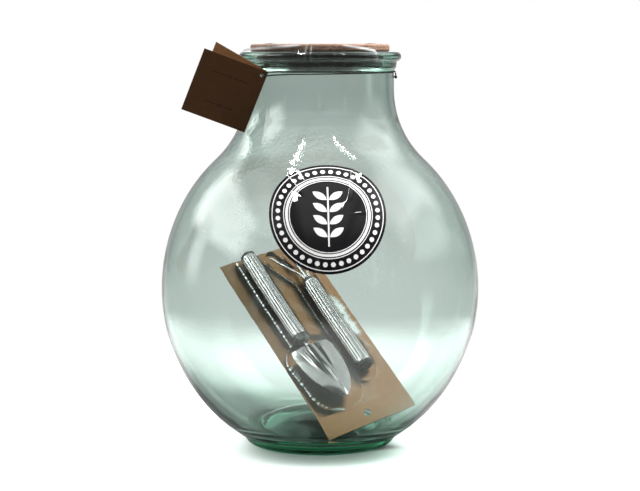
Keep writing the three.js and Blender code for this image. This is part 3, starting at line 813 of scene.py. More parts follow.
@dataclass(frozen=True)
class PrintedSticker(Finish):
    """Black gloss film printed with plain white rings, a ring of dots and a leaf sprig.

    Lengths are shares of the sticker's radius. A ring has a radius and half a width. The leaves sit in equal
    parts of the stem's height, from the lowest to the highest.
    """

    black: Colour = (0.004, 0.004, 0.005)
    white: Colour = (0.86, 0.85, 0.84)
    rings: tuple[Pair, ...] = ((0.945, 0.008), (0.745, 0.007), (0.695, 0.022), (0.648, 0.007))
    soft: float = 0.003
    dots: int = 40
    dot_ring: float = 0.845
    leaf_pitch: float = 0.22
    leaf_angle: float = 34
    lowest: float = -0.42
    highest: float = 0.46

    def paint(self, recipe: Surface) -> None:
        """The print on the sticker's own map, on glossy, slightly wavy film with finger marks.

        Args:
            recipe: the material's tree.
        """
        x, y, _ = recipe.axes(recipe.coordinates(kind="UV"))
        radius = (x * x + y * y).math("SQRT")
        printed = self._dots(x, y, radius).most(self._sprig(x, y))
        for middle, half in self.rings:
            printed = printed.most(radius.band(middle, half, self.soft))
        place = recipe.coordinates()
        mark = recipe.effect(Effect.GRIME, place, 22.0)["Mark"]
        height = recipe.effect(Effect.RIPPLE, place, 30.0)["Height"]
        recipe.dress(
            Base_Color=recipe.blend(printed, self.black, self.white), Roughness=mark * 0.1 + 0.02,
            IOR=1.45, Normal=recipe.bump(height, 0.1, 0.0012),
        )

    def _dots(self, x: Field, y: Field, radius: Field) -> Field:
        """Dots on one ring: the turn is folded into equal parts, and each holds a small disc.

        Args:
            x: place across the sticker.
            y: place up the sticker.
            radius: distance from its middle.

        Returns:
            One on the dots and zero beside them.
        """
        turn = y.math("ARCTAN2", x) * (self.dots / (2 * math.pi))
        across = abs(turn.math("FRACT") - 0.5) * (2 * math.pi / self.dots * self.dot_ring)
        off = radius - self.dot_ring
        return (across * across + off * off).math("SQRT").step(0.036, 0.044, 1.0, 0.0)

    def _sprig(self, x: Field, y: Field) -> Field:
        """A stem with pairs of leaves: the height is folded into equal parts, each with a leaf a side.

        A leaf is a lens about a sloping line: it narrows with the square of the way from its middle.

        Args:
            x: place across the sticker.
            y: place up the sticker.

        Returns:
            One on the sprig and zero beside it.
        """
        across, low, high = abs(x), self.lowest, self.highest
        fold = ((y - low) * (1 / self.leaf_pitch)).math("FRACT") * self.leaf_pitch
        c, s = math.cos(math.radians(self.leaf_angle)), math.sin(math.radians(self.leaf_angle))
        out = across * c + fold * s
        over = fold * c - across * s
        share = (out - 0.175) * (1 / 0.14)
        lens = (share * share * -1.0 + 1.0) * 0.062
        leaf = (lens - abs(over - 0.02)).step(-0.004, 0.004) * lens.step(0.0, 0.004)
        within = y.step(low - 0.01, low, 0.0, 1.0) * y.step(high, high + 0.01, 1.0, 0.0)
        upright = y.step(low - 0.13, low - 0.12) * y.step(0.52, 0.53, 1.0, 0.0)
        return (leaf * within).most(across.step(0.010, 0.016, 1.0, 0.0) * upright)


@dataclass(frozen=True)
class BrightSteel(Finish):
    """Bright steel with a fine grain; where it is ribbed, its grooves are painted dark as shade."""

    tone: float = 0.62
    rough: float = 0.2
    grain: float = 0.25
    ribbed: bool = False
    # Painted shade for the grooves between the ribs.
    groove: Colour = (0.06, 0.06, 0.06)

    def paint(self, recipe: Surface) -> None:
        """Fine grain, finger marks, and on ribs painted shade in the grooves, by the height on the piece's
        own map.

        Args:
            recipe: the material's tree.
        """
        place = recipe.coordinates()
        grain = recipe.noise(place, 700, 3, 0.6)
        mark = recipe.effect(Effect.GRIME, place, 45.0)["Mark"]
        dark, light = ((t, t * 0.93, t * 0.95) for t in (self.tone * 0.85, min(1.0, self.tone * 1.18)))
        colour = recipe.blend(grain, dark, light)
        # Painted shade: the grooves darken by the rib height on the map.
        if self.ribbed:
            crown, _, _ = recipe.axes(recipe.coordinates(kind="UV"))
            colour = recipe.blend(crown.step(0.3, 0.85), self.groove, colour)
        recipe.dress(
            Base_Color=colour, Metallic=1.0, Roughness=mark * 0.2 + grain * 0.06 + self.rough - 0.03,
            Normal=recipe.bump(grain, self.grain, 0.0003),
        )


@dataclass(frozen=True)
class DarkMoulding(Finish):
    """Dark moulded plastic or lacquer with a light grain."""

    colour: Colour
    rough: float = 0.45

    def paint(self, recipe: Surface) -> None:
        """A mottled dark colour with a leathery surface and finger marks.

        Args:
            recipe: the material's tree.
        """
        place = recipe.coordinates()
        mottle = recipe.noise(place, 320, 4, 0.6)
        mark = recipe.effect(Effect.GRIME, place, 70.0)["Mark"]
        light = tuple(c * 1.9 + 0.006 for c in self.colour)
        recipe.dress(
            Base_Color=recipe.blend(mottle, self.colour, light), Roughness=mark * 0.25 + self.rough,
            Specular_IOR_Level=0.3, Normal=recipe.bump(mottle, 0.2, 0.0003),
        )


@dataclass(frozen=True)
class WaxedCord(Finish):
    """Black waxed cord: near black with a dull shine along its strands."""

    dark: Colour = (0.002, 0.002, 0.002)
    light: Colour = (0.010, 0.009, 0.008)

    def paint(self, recipe: Surface) -> None:
        """Fine fibre noise in tone, roughness and surface.

        Args:
            recipe: the material's tree.
        """
        fibre = recipe.noise(recipe.coordinates(), 2600, 3, 0.6)
        recipe.dress(
            Base_Color=recipe.blend(fibre, self.dark, self.light), Roughness=fibre * 0.3 + 0.55,
            Normal=recipe.bump(fibre, 0.5, 0.0002),
        )


# The jar


@dataclass
class Jar:
    """The blown vessel, its outline as in the CAD model with molten corners and an uneven wall."""

    bulb_radius: float = 150
    bulb_middle: float = 149
    bulb_up: float = 161.5
    bulb_down: float = 161
    bulb_wall: float = 5
    base_wall: float = 10
    fillet: float = 90
    neck_radius: float = 69.5
    neck_wall: float = 6.5
    rim: float = 371.3
    bead: float = 4.2
    bead_proud: float = 6.8
    collar_proud: float = 1.9
    collar_drop: float = 14.8
    lip: float = 2.5
    lip_depth: float = 13
    foot_radius: float = 64
    foot_height: float = 9
    punt_radius: float = 51
    punt_depth: float = 16
    floor_radius: float = 61
    floor_edge: float = 14
    floor_thickness: float = 12
    seam_height: float = 307
    seam_step: float = 0.5
    seam_soft: float = 0.8
    seam_fade: float = 40
    heel_marks: tuple[float, ...] = (5.5, 10.0, 15.5)
    heel_mark: float = 0.5
    heel_mark_half: float = 1.1
    corner: float = 0.9
    fine_reach: float = 24
    rim_spacing: float = 0.75
    heel_spacing: float = 1.15
    wall_spacing: float = 3.6
    sides: int = 168

    def wall(self, radius: float, up: float, down: float, neck: float, fillet: float, bottom: float) -> Array:
        """Half an ellipse from a height up to the shoulder, then the hollow arc that meets the neck.

        The arc's centre lies a fillet out from the neck, so it meets the ellipse where the ellipse's point
        plus a fillet along its normal has that same radius.

        Args:
            radius: the ellipse's half width.
            up: its half height above its middle.
            down: its half height below.
            neck: the neck's radius.
            fillet: the arc's radius.
            bottom: the height that the line starts at.

        Returns:
            Radius and height pairs from the bottom up.
        """
        t = np.linspace(0, math.pi / 2, 4000)
        normal = np.stack([np.cos(t) / radius, np.sin(t) / up], -1)
        normal /= np.linalg.norm(normal, axis=1, keepdims=True)
        reach = radius * np.cos(t) + fillet * normal[:, 0]
        meet = float(np.interp(-(neck + fillet), -reach, t))
        at = np.array([np.interp(meet, t, normal[:, k]) for k in (0, 1)])
        centre = (neck + fillet, self.bulb_middle + up * math.sin(meet) + fillet * at[1])
        low = np.linspace(-math.asin((self.bulb_middle - bottom) / down), 0, 80)[:-1]
        high = np.linspace(0, meet, 80)[:-1]
        slope = math.degrees(math.atan2(at[1], at[0]))
        return np.vstack([
            np.stack([radius * np.cos(low), self.bulb_middle + down * np.sin(low)], -1),
            np.stack([radius * np.cos(high), self.bulb_middle + up * np.sin(high)], -1),
            arc(centre, fillet, 180 + slope, 180, 60),
        ])

    def profile(self) -> Array:
        """The whole outline: from the push-up's middle out and up, over the rim and down to the floor.

        Returns:
            Radius and height pairs.
        """
        share = np.linspace(0, 1, 40)
        punt = np.stack([self.punt_radius * share, self.punt_depth * (1 - share**2)], -1)
        outer = self.wall(
            self.bulb_radius, self.bulb_up, self.bulb_down, self.neck_radius, self.fillet, self.foot_height
        )
        heel = [[self.foot_radius, 0], [(self.foot_radius + outer[0, 0]) / 2, self.foot_height * 0.3]]
        collar = self.rim - self.collar_drop
        proud = self.neck_radius + self.collar_proud
        bead_at = (self.neck_radius + self.bead_proud - self.bead, self.rim - self.bead)
        inside_neck = self.neck_radius - self.neck_wall
        mouth = inside_neck - self.lip
        inner = self.wall(
            self.bulb_radius - self.bulb_wall, self.bulb_up - self.bulb_wall, self.bulb_down - self.base_wall,
            inside_neck, self.fillet + self.neck_wall, self.floor_edge,
        )[::-1]
        rise = self.punt_depth + self.floor_thickness - self.floor_edge
        back = share[::-1]
        floor = np.stack([self.floor_radius * back, self.floor_edge + rise * (1 - back**3)], -1)
        return np.vstack([
            punt, heel, outer, [[self.neck_radius, collar - self.collar_proud], [proud, collar]],
            arc(bead_at, self.bead, -90, 90, 30),
            arc((mouth + self.lip, self.rim - self.lip), self.lip, 90, 180, 16),
            [[mouth, self.rim - self.lip_depth], [inside_neck, self.rim - self.lip_depth - 2 * self.lip]],
            inner, floor,
        ])

    def spaced(self) -> tuple[Array, Array]:
        """The rounded outline with close points at the rim and foot.

        Returns:
            The points, and for each whether it is on the inside.
        """
        line = rounded(self.profile(), self.corner)
        z = line[:, 1]
        need = np.where(z < self.fine_reach, self.heel_spacing, self.wall_spacing)
        need = np.where(z > self.rim - self.fine_reach, self.rim_spacing, need)
        run = np.concatenate([[0], np.cumsum(LINE_STEP / need[1:])])
        marks = np.interp(np.linspace(0, run[-1], int(run[-1])), run, along(line))
        top = along(line)[np.argmax(z)]
        return resampled(line, marks), marks > top

    def waver(self, turn: Array, z: Array, inside: bool) -> Array:
        """How far the blown wall wanders in or out: a few slow waves round and up, stronger inside.

        Args:
            turn: turns about the axis in radians.
            z: heights.
            inside: whether it is the inner wall.

        Returns:
            What to add to the radius.
        """
        if inside:
            wave = (
                0.10 * np.sin(3 * turn + z / 31 + 0.4) + 0.05 * np.sin(5 * turn - z / 22 + 1.9)
                + 0.018 * np.sin(9 * turn + z / 13) + 0.012 * np.sin(z / 9 + 2 * np.sin(2 * turn))
            )
        else:
            wave = 0.05 * np.sin(2 * turn + z / 36 + 1.1) + 0.02 * np.sin(5 * turn - z / 24)
        fade = np.clip((z - 22) / 30, 0, 1) * np.clip((self.rim - 26 - z) / 20, 0, 1)
        return wave * fade

    def build(self, glass: Material) -> None:
        """The vessel as a lathe with its waver, tool marks round the heel, and a faint ring inside the neck.

        Args:
            glass: its finish.
        """
        outline, on_inside = self.spaced()
        inside = on_inside[:, None]
        turn = even_turns(self.sides)
        z = outline[:, 1:]
        stretch = np.where(inside, self.waver(turn, z, True), self.waver(turn, z, False))
        over = z - self.seam_height
        ring = self.seam_step / (1 + np.exp(over / self.seam_soft)) * (over > -self.seam_fade)
        stretch += np.where(inside, ring * np.clip((over + self.seam_fade) / self.seam_fade, 0, 1), 0)
        marks = sum(hump((z - level) / self.heel_mark_half) for level in self.heel_marks)
        stretch -= np.where(~inside & (outline[:, :1] > self.foot_radius), self.heel_mark * marks, 0)
        add_piece("vessel", lathe(outline, self.sides, stretch), glass, "vessel", "glass_vessel", 60)

    def on_bulb(self, across: Array, up: Array, out: Array, height: float, turn: float) -> Array:
        """Points on the bulb's outside, by lengths along the wall and round it.

        Args:
            across: millimetres to the right.
            up: millimetres up along the wall.
            out: millimetres out from the glass.
            height: the height that up is measured from.
            turn: the turn in degrees that across is measured from.

        Returns:
            The points.
        """
        middle = math.asin((height - self.bulb_middle) / self.bulb_up)
        pace = math.hypot(self.bulb_radius * math.sin(middle), self.bulb_up * math.cos(middle))
        angle = middle + up / pace
        normal = np.stack([np.cos(angle) / self.bulb_radius, np.sin(angle) / self.bulb_up], -1)
        normal /= np.linalg.norm(normal, axis=-1, keepdims=True)
        z = self.bulb_middle + self.bulb_up * np.sin(angle)
        round_by = math.radians(turn) + across / (self.bulb_radius * np.cos(angle))
        far = out + self.waver(round_by, z, False)
        radius = self.bulb_radius * np.cos(angle) + normal[..., 0] * far
        x, y = radius * np.sin(round_by), -radius * np.cos(round_by)
        return np.stack([x, y, z + normal[..., 1] * far], -1)


@dataclass
class Sticker:
    """The round sticker on the front of the bulb, with a few creases.

    A crease has a direction in radians, its distance from the middle and its start as shares of the radius,
    its height in millimetres, and half its width as a share of the radius.
    """

    radius: float = 53
    height: float = 229
    turn: float = 3.2
    lift: float = 0.3
    thickness: float = 0.2
    rings: int = 48
    sides: int = 160
    creases: tuple[tuple[float, float, float, float, float], ...] = (
        (0.08, 0.02, 0.35, 0.5, 0.012), (2.0, -0.04, 0.55, 0.35, 0.012), (1.2, 0.1, 0.6, 0.3, 0.012),
        (-2.6, 0.2, 0.6, 0.3, 0.012), (2.224, -0.07, 0.45, 0.6, 0.05), (1.452, 0.299, 0.25, 0.6, 0.05),
    )

    def build(self, jar: Jar, film: Material) -> None:
        """Rings of points laid on the bulb: out from the middle on top and back underneath.

        Args:
            jar: the jar that it sticks to.
            film: its finish.
        """
        share = np.linspace(0.02, 1, self.rings)
        a = even_turns(self.sides)
        x, y = share[:, None] * np.cos(a), share[:, None] * np.sin(a)
        raised = self.lift + self.thickness
        top, under = (
            jar.on_bulb(x * self.radius, y * self.radius, out, self.height, self.turn)
            for out in (raised + self._crease(x, y), np.full_like(x, self.lift))
        )
        zero = np.zeros(1)
        ends = [jar.on_bulb(zero, zero, zero + out, self.height, self.turn)[0] for out in (raised, self.lift)]
        solid = capped(np.vstack([top, under[::-1]]), *ends)
        flat = np.stack([x, y], -1)
        solid.uv = np.vstack([np.vstack([flat, flat[::-1]]).reshape(-1, 2), [[0, 0], [0, 0]]])
        add_piece("sticker", solid, film, "vessel", "label_sticker", 80)

    def _crease(self, x: Array, y: Array) -> Array:
        """Height of the creases: each is a bell across its line, and rises from nothing at its start.

        Args:
            x: places across, as shares of the radius.
            y: places up.

        Returns:
            Millimetres at each place.
        """
        return sum(
            high * hump((x * math.sin(t) - y * math.cos(t) - off) / half)
            * np.clip((x * math.cos(t) + y * math.sin(t) - start) / 0.2, 0, 1)
            for t, off, start, high, half in self.creases
        )


# The lid


@dataclass
class Lid:
    """The cork disc and plug, and the shrink film drawn over the disc's edge and the rim.

    The seam's two lines and the ends of the arcs of painted glare on the film are turns in degrees.
    """

    radius: float = 65.2
    thickness: float = 7
    edge: float = 1
    soft_edge: float = 0.35
    plug_depth: float = 16
    plug_taper: float = 1.4
    plug_radius: float = 59.9
    film: float = 0.3
    film_width: float = 20
    film_skirt: float = 8.5
    film_shine: float = 0.004
    # Painted glare: how strongly the film mirrors along the arcs where highlights should fall.
    painted_glare: float = 0.6
    seam: Pair = (-10.2, -6.4)
    seam_half: float = 0.45
    # Painted highlight along the seam lines.
    seam_painted_highlight: float = 0.22
    # Turns in degrees where each arc of painted glare starts and ends.
    glare_arcs: tuple[Pair, ...] = ((-14, -78), (17.5, 44))
    sides: int = 200

    def build(self, jar: Jar, disc: Material, plug: Material, film: Material) -> None:
        """The disc and plug as lathes with soft edges, and the film as a thin ring with dents and a seam.

        Args:
            jar: the jar that the lid closes.
            disc: the disc's finish.
            plug: the plug's finish, cork painted dark as shade.
            film: the film's finish.
        """
        low = jar.rim + GAP
        high, bottom = low + self.thickness, low - self.plug_depth
        side, tip, e = self.radius, self.plug_radius - self.plug_taper, self.edge
        flat = [[0, low], [side - e, low], [side, low + e], [side, high - e], [side - e, high], [0, high]]
        top = low - GAP
        cone = [[0, bottom], [tip - e, bottom], [tip, bottom + e], [self.plug_radius, top], [0, top]]
        corks = (("lid_cork", flat, disc, "lid_disc"), ("lid_stopper", cone, plug, "lid_plug"))
        for name, outline, cork, node in corks:
            line = rounded(np.array(outline), self.soft_edge)[::2]
            add_piece(name, lathe(line, self.sides, self._grain(line)), cork, "lid", node, 60)
        add_piece("lid_film", self._film(jar, high), film, "lid", "shrink_film", 70)

    def _grain(self, line: Array) -> Array:
        """Small pits in the cork's upright side: the product of two waves, cut off where it is low.

        Args:
            line: the cork's outline.

        Returns:
            What to add to the radius at each point and turn.
        """
        turn = even_turns(self.sides)
        z = line[:, 1:]
        waves = np.sin(37 * turn + 3 * np.sin(z * 1.7)) * np.sin(61 * turn + 2.1 * z + 1)
        pit = np.clip(waves, 0.35, 1) - 0.35
        upright = np.clip((line[:, :1] - line[:, 0].max() + 1.5) / 1.5, 0, 1)
        return -0.5 * pit * upright

    def _film(self, jar: Jar, high: float) -> Solid:
        """The film: its section runs over the lid, down the slope to the bead and round it.

        Between the lid and the bead it bulges as half a sine wave, its skirt flares in a wavy edge, its lap
        on the lid puckers, and two fine ribs mark its seam.

        Args:
            jar: the jar whose rim it wraps.
            high: height of the lid's top.

        Returns:
            The closed body, with a map of the share that mirrors, which paints glare arcs, a highlight on the
            seam lines and sheen on the puckers.
        """
        bead_at = (jar.neck_radius + jar.bead_proud - jar.bead, jar.rim - jar.bead)
        bead = jar.neck_radius + jar.bead_proud
        e = self.edge
        inner = np.array([
            [self.radius - self.film_width, high + GAP], [self.radius - e, high + GAP],
            [self.radius + GAP, high - e], [bead_at[0] + jar.bead * 0.5, jar.rim + GAP],
            [bead + GAP, bead_at[1] + jar.bead * 0.5], [bead + GAP, jar.rim - self.film_skirt],
        ])
        run = along(inner)
        marks = np.unique(np.concatenate([np.linspace(0, run[1], 24), np.linspace(run[1], run[-1], 70)]))
        line = resampled(inner, marks)
        turn = even_turns(self.sides * 2)
        slope = np.clip((marks - run[2]) / (run[3] - run[2]), 0, 1)[:, None]
        bulge = np.sin(math.pi * slope) * (2.4 + 0.5 * np.sin(5 * turn + 0.6) * np.sin(2 * turn))
        skirt = np.clip((marks - run[3]) / (run[-1] - run[3]), 0, 1)[:, None]
        flare = skirt**3 * (0.25 + 0.25 * np.sin(23 * turn + 4 * np.sin(3 * turn)))
        lap = np.clip((run[1] - marks) / run[1], 0, 1)[:, None]
        pucker = lap * (0.18 + 0.18 * np.sin(46 * turn + 5 * np.sin(4 * turn)))
        degrees = np.degrees(np.angle(np.exp(1j * turn)))
        seam = sum(hump((degrees - t) / self.seam_half) for t in self.seam)
        out = 0.45 * bulge + flare * 0.6 + 0.22 * seam * (slope > 0)
        lift = pucker * 0.6 + 0.12 * seam * (slope <= 0)
        layers = []
        for offset in (0.0, self.film):
            r = line[:, :1] + out + offset * (slope > 0)
            z = line[:, 1:] + lift + offset * (slope < 0.5)
            layers.append(np.stack([r * np.sin(turn), -r * np.cos(turn), np.broadcast_to(z, r.shape)], -1))
        solid = ringed(np.vstack([layers[0], layers[1][::-1]]))
        # The share that mirrors is painted: a highlight along the seam lines on the slope, and sheen on the
        # pucker crests of the lap.
        shine = self.film_shine + self.seam_painted_highlight * seam * (slope > 0)
        shine = shine + 0.05 * lap * np.clip(pucker - 0.2, 0, 1)
        # Painted glare: arcs of stronger mirror across the slope, not folds in the film's shape.
        for start, end in self.glare_arcs:
            share = (degrees - start) / (end - start)
            within = np.clip(np.minimum(share, 1 - share) / 0.06, 0, 1)
            fold = hump((slope - 0.85 * share) / 0.17) * within
            shine = shine + self.painted_glare * fold * (slope > 0)
        shine = np.vstack([shine, shine[::-1]]).reshape(-1)
        solid.uv = np.stack([shine, 0 * shine], -1)
        return solid


# The cord and the tag


@dataclass
class NeckCord:
    """The two-ply cord tied round the neck, through the tag's holes, with its knot at the right.

    The thread's places are measured from the hole's middle in the tag's own frame. A strand's size and its
    distance from the cord's middle line are shares of the cord's radius.
    """

    radius: float = 0.7
    drop: float = 19
    tilt: float = 1.3
    thread: tuple[Triple, ...] = ((0.3, 0, -4), (0.1, 0, -1.2), (0.8, 0, 0.9))
    path_points: int = 1500
    pitch: float = 3.4
    strand_size: float = 0.54
    strand_offset: float = 0.46
    strand_sides: int = 8
    knot_turn: float = 92
    knot_gap: float = 1.2
    knot_radius: float = 1.5
    knot_drop: float = 5.2
    knot_sides: int = 24

    def level(self, jar: Jar, tag: "Tag", turn: Array) -> Array:
        """The cord's height: it hangs lower at the tag and higher opposite."""
        return jar.rim - self.drop - self.tilt * np.cos(np.radians(turn - tag.turn))

    def route(self, jar: Jar, tag: "Tag") -> Array:
        """The cord's middle line: from the knot round the back, through both holes and along the front.

        It leaves the neck, and comes back to it, where the straight line to the nearer hole is a tangent: the
        turn between is the arc cosine of the loop's radius over the hole's distance.

        Args:
            jar: the jar that the cord goes round.
            tag: the tag that hangs on it.

        Returns:
            Points at even steps along the line.
        """
        ring = jar.neck_radius + self.radius + GAP
        hole = np.array([-tag.hole_inset, 0, 0])
        thread = tag.placement(jar, self).at(np.array(self.thread) + hole)
        turn_of = [math.degrees(math.atan2(p[0], -p[1])) for p in thread]
        away = [math.degrees(math.acos(min(1, ring / math.hypot(p[0], p[1])))) for p in thread]
        leave, arrive = turn_of[0] - away[0], turn_of[2] + away[2]
        turns = (
            np.linspace(self.knot_turn + self.knot_gap, 360 + leave, 60),
            np.linspace(arrive, self.knot_turn - self.knot_gap, 50),
        )
        back, front = (
            np.stack([ring * np.sin(a), -ring * np.cos(a), self.level(jar, tag, t)], -1)
            for t, a in ((t, np.radians(t)) for t in turns)
        )
        before = thread[0] * 0.5 + back[-1] * 0.5
        after = [thread[2] * share + front[0] * (1 - share) for share in (0.65, 0.3)]
        return spline(np.vstack([back, [before], thread, after, front]), self.path_points)

    def build(self, jar: Jar, tag: "Tag", cord: Material) -> None:
        """Two strands wound round the middle line, each a tube about half the cord's size, and the knot.

        A strand's line is the middle line + offset (cos w · side + sin w · rise), where w grows by a full
        turn in each pitch and the second strand is half a turn behind.

        Args:
            jar: the jar that the cord goes round.
            tag: the tag that hangs on it.
            cord: the cord's finish.
        """
        path = self.route(jar, tag)
        run = along(path)
        side, rise = cross_axes(path, UPWARDS)
        size = np.full(len(path), self.radius * self.strand_size)
        strands = []
        for phase in (0.0, math.pi):
            wind = (run * 2 * math.pi / self.pitch + phase)[:, None]
            line = path + self.radius * self.strand_offset * (side * np.cos(wind) + rise * np.sin(wind))
            strands.append(capped(tube(line, size, self.strand_sides, UPWARDS), line[0], line[-1]))
        piece = add_piece("cord", strands[0].joined(strands[1]), cord, "cord", "neck_cord", 80)
        knot = add_piece("cord_tie", self._knot(jar, tag), cord, "cord", "cord_knot", 80)
        tuple(path[0] * MM)
        [tuple(p) for p in path * MM]

    def _knot(self, jar: Jar, tag: "Tag") -> Solid:
        """The knot and its short end: a ball on a stem, turned about an upright axis, with three lobes.

        Args:
            jar: the jar that the knot lies against.
            tag: the tag, which sets the cord's slope.

        Returns:
            The closed body.
        """
        level = float(self.level(jar, tag, np.array(self.knot_turn)))
        top, middle = level - self.radius - GAP, level - self.knot_drop
        share = np.linspace(0, 1, 40)
        z = middle - self.knot_radius + (top - middle + self.knot_radius) * share
        ball = np.sqrt(np.clip(1 - ((z - middle) / self.knot_radius) ** 2, 0, 1)) * self.knot_radius
        stem = self.radius * 0.85 * np.clip((z - middle) / 0.6, 0, 1)
        radius = np.maximum(ball, stem)
        line = np.stack([np.concatenate([[0], radius[1:-1], [0]]), z], -1)
        turn = even_turns(self.knot_sides)
        lobes = 0.1 * radius[:, None] * np.sin(3 * turn + z[:, None] * 2.2)
        solid = lathe(line, self.knot_sides, lobes)
        far = jar.neck_radius + GAP + self.knot_radius
        a = math.radians(self.knot_turn)
        solid.points = solid.points + np.array([far * math.sin(a), -far * math.cos(a), 0])
        return solid


@dataclass
class Tag:
    """The folded paper tag: a dark front leaf, and a lighter back leaf that stands open behind it."""

    side: float = 62
    paper: float = 0.35
    leaf_gap: float = 0.15
    turn: float = -42
    standoff: float = 3.2
    drop: float = 2.5
    lean: float = 16.3
    roll: float = 21.5
    open: float = 32
    hole: float = 1.7
    back_hole: float = 2.6
    hole_inset: float = 5

    def placement(self, jar: Jar, cord: NeckCord) -> Placement:
        """The tag's frame: its fold along Y at x = 0, the leaves towards -X, Z towards the viewer.

        Args:
            jar: the jar that the tag hangs on.
            cord: the cord that holds it.

        Returns:
            The frame in the outer one.
        """
        far, a = jar.neck_radius + self.standoff, math.radians(self.turn)
        z = float(cord.level(jar, self, np.array(self.turn))) - self.drop
        origin = np.array([far * math.sin(a), -far * math.cos(a), z])
        return Placement(origin, turned(0, 90 + self.lean) @ turned(2, -self.roll))

    def build(self, jar: Jar, cord: NeckCord, front: Material, back: Material) -> None:
        """Both leaves, each on its own body.

        Args:
            jar: the jar that the tag hangs on.
            cord: the cord that holds it.
            front: the front leaf's finish.
            back: the back leaf's finish.
        """
        place = self.placement(jar, cord)
        behind = Placement(np.zeros(3), turned(1, -self.open)).within(place)
        low = -self.leaf_gap - self.paper
        leaves = (
            ("tag_leaf_front", "tag", "tag_front_leaf", place, self._leaf(self.hole, self.leaf_gap), front),
            ("tag_leaf_back", "tag_back", "tag_back_leaf", behind, self._leaf(self.back_hole, low), back),
        )
        for name, body, node, frame_of, leaf, finish in leaves:
            add_piece(name, frame_of.set(leaf), finish, body, node, 50)

    def _leaf(self, hole: float, low: float) -> Solid:
        """A slightly curled square leaf with a hole near its corner, in the frame of its fold."""
        box = np.array([[-self.side, self.hole_inset - self.side], [-GAP, self.hole_inset]])
        return punched_sheet(box, np.array([-self.hole_inset, 0.0]), hole, self.paper, low, self._curl)

    @staticmethod
    def _curl(x: Array, y: Array) -> Array:
        """Height of the curl: a parabola to 0.5 mm at the free edge, nil at the fold, with a gentle twist."""
        return 0.00012 * x**2 + 0.00005 * x * (y + 28)


def punched_sheet(
    box: Array,
    centre: Array,
    hole: float,
    thick: float,
    low: float,
    curl: Callable[[Array, Array], Array],
) -> Solid:
    """A rectangular sheet with a round hole: rings from the hole's edge to the outline, on both faces.

    The outline's point at a turn is where the ray from the hole's middle meets the rectangle, and the rings
    between are shares of the way to it, closer together near the hole.

    Args:
        box: lowest and highest corner of the sheet.
        centre: the hole's middle.
        hole: its radius.
        thick: the sheet's thickness.
        low: height of its lower face.
        curl: gives the height to add at x and y.

    Returns:
        The body, with a map in millimetres from the sheet's middle.
    """
    rays_a_side, rings, crowding = 40, 42, 1.6
    (left, front), (right, back) = box
    corners = np.array([[left, front], [right, front], [right, back], [left, back]])
    start = np.sort(np.arctan2(*(corners - centre).T[::-1]))
    ends = np.append(start[1:], start[0] + 2 * math.pi)
    a = np.concatenate([np.linspace(s, e, rays_a_side, endpoint=False) for s, e in zip(start, ends)])
    ray = np.stack([np.cos(a), np.sin(a)], -1)
    with np.errstate(divide="ignore"):
        hits = np.where(ray > 0, (box[1] - centre) / ray, (box[0] - centre) / ray)
    reach = np.min(np.where(np.isfinite(hits), hits, np.inf), axis=1)
    share = np.linspace(0, 1, rings)[:, None] ** crowding
    far = hole + (reach - hole) * share
    flat = centre + far[..., None] * ray
    x, y = flat[..., 0], flat[..., 1]
    lift = curl(x, y)
    lower = np.stack([x, y, low + lift], -1)
    upper = np.stack([x, y, low + thick + lift], -1)
    solid = ringed(np.vstack([upper, lower[::-1]]))
    middle = flat - (box[0] + (box[1] - box[0]) / 2)
    solid.uv = np.vstack([middle, middle[::-1]]).reshape(-1, 2)
    return solid


# The carded tools


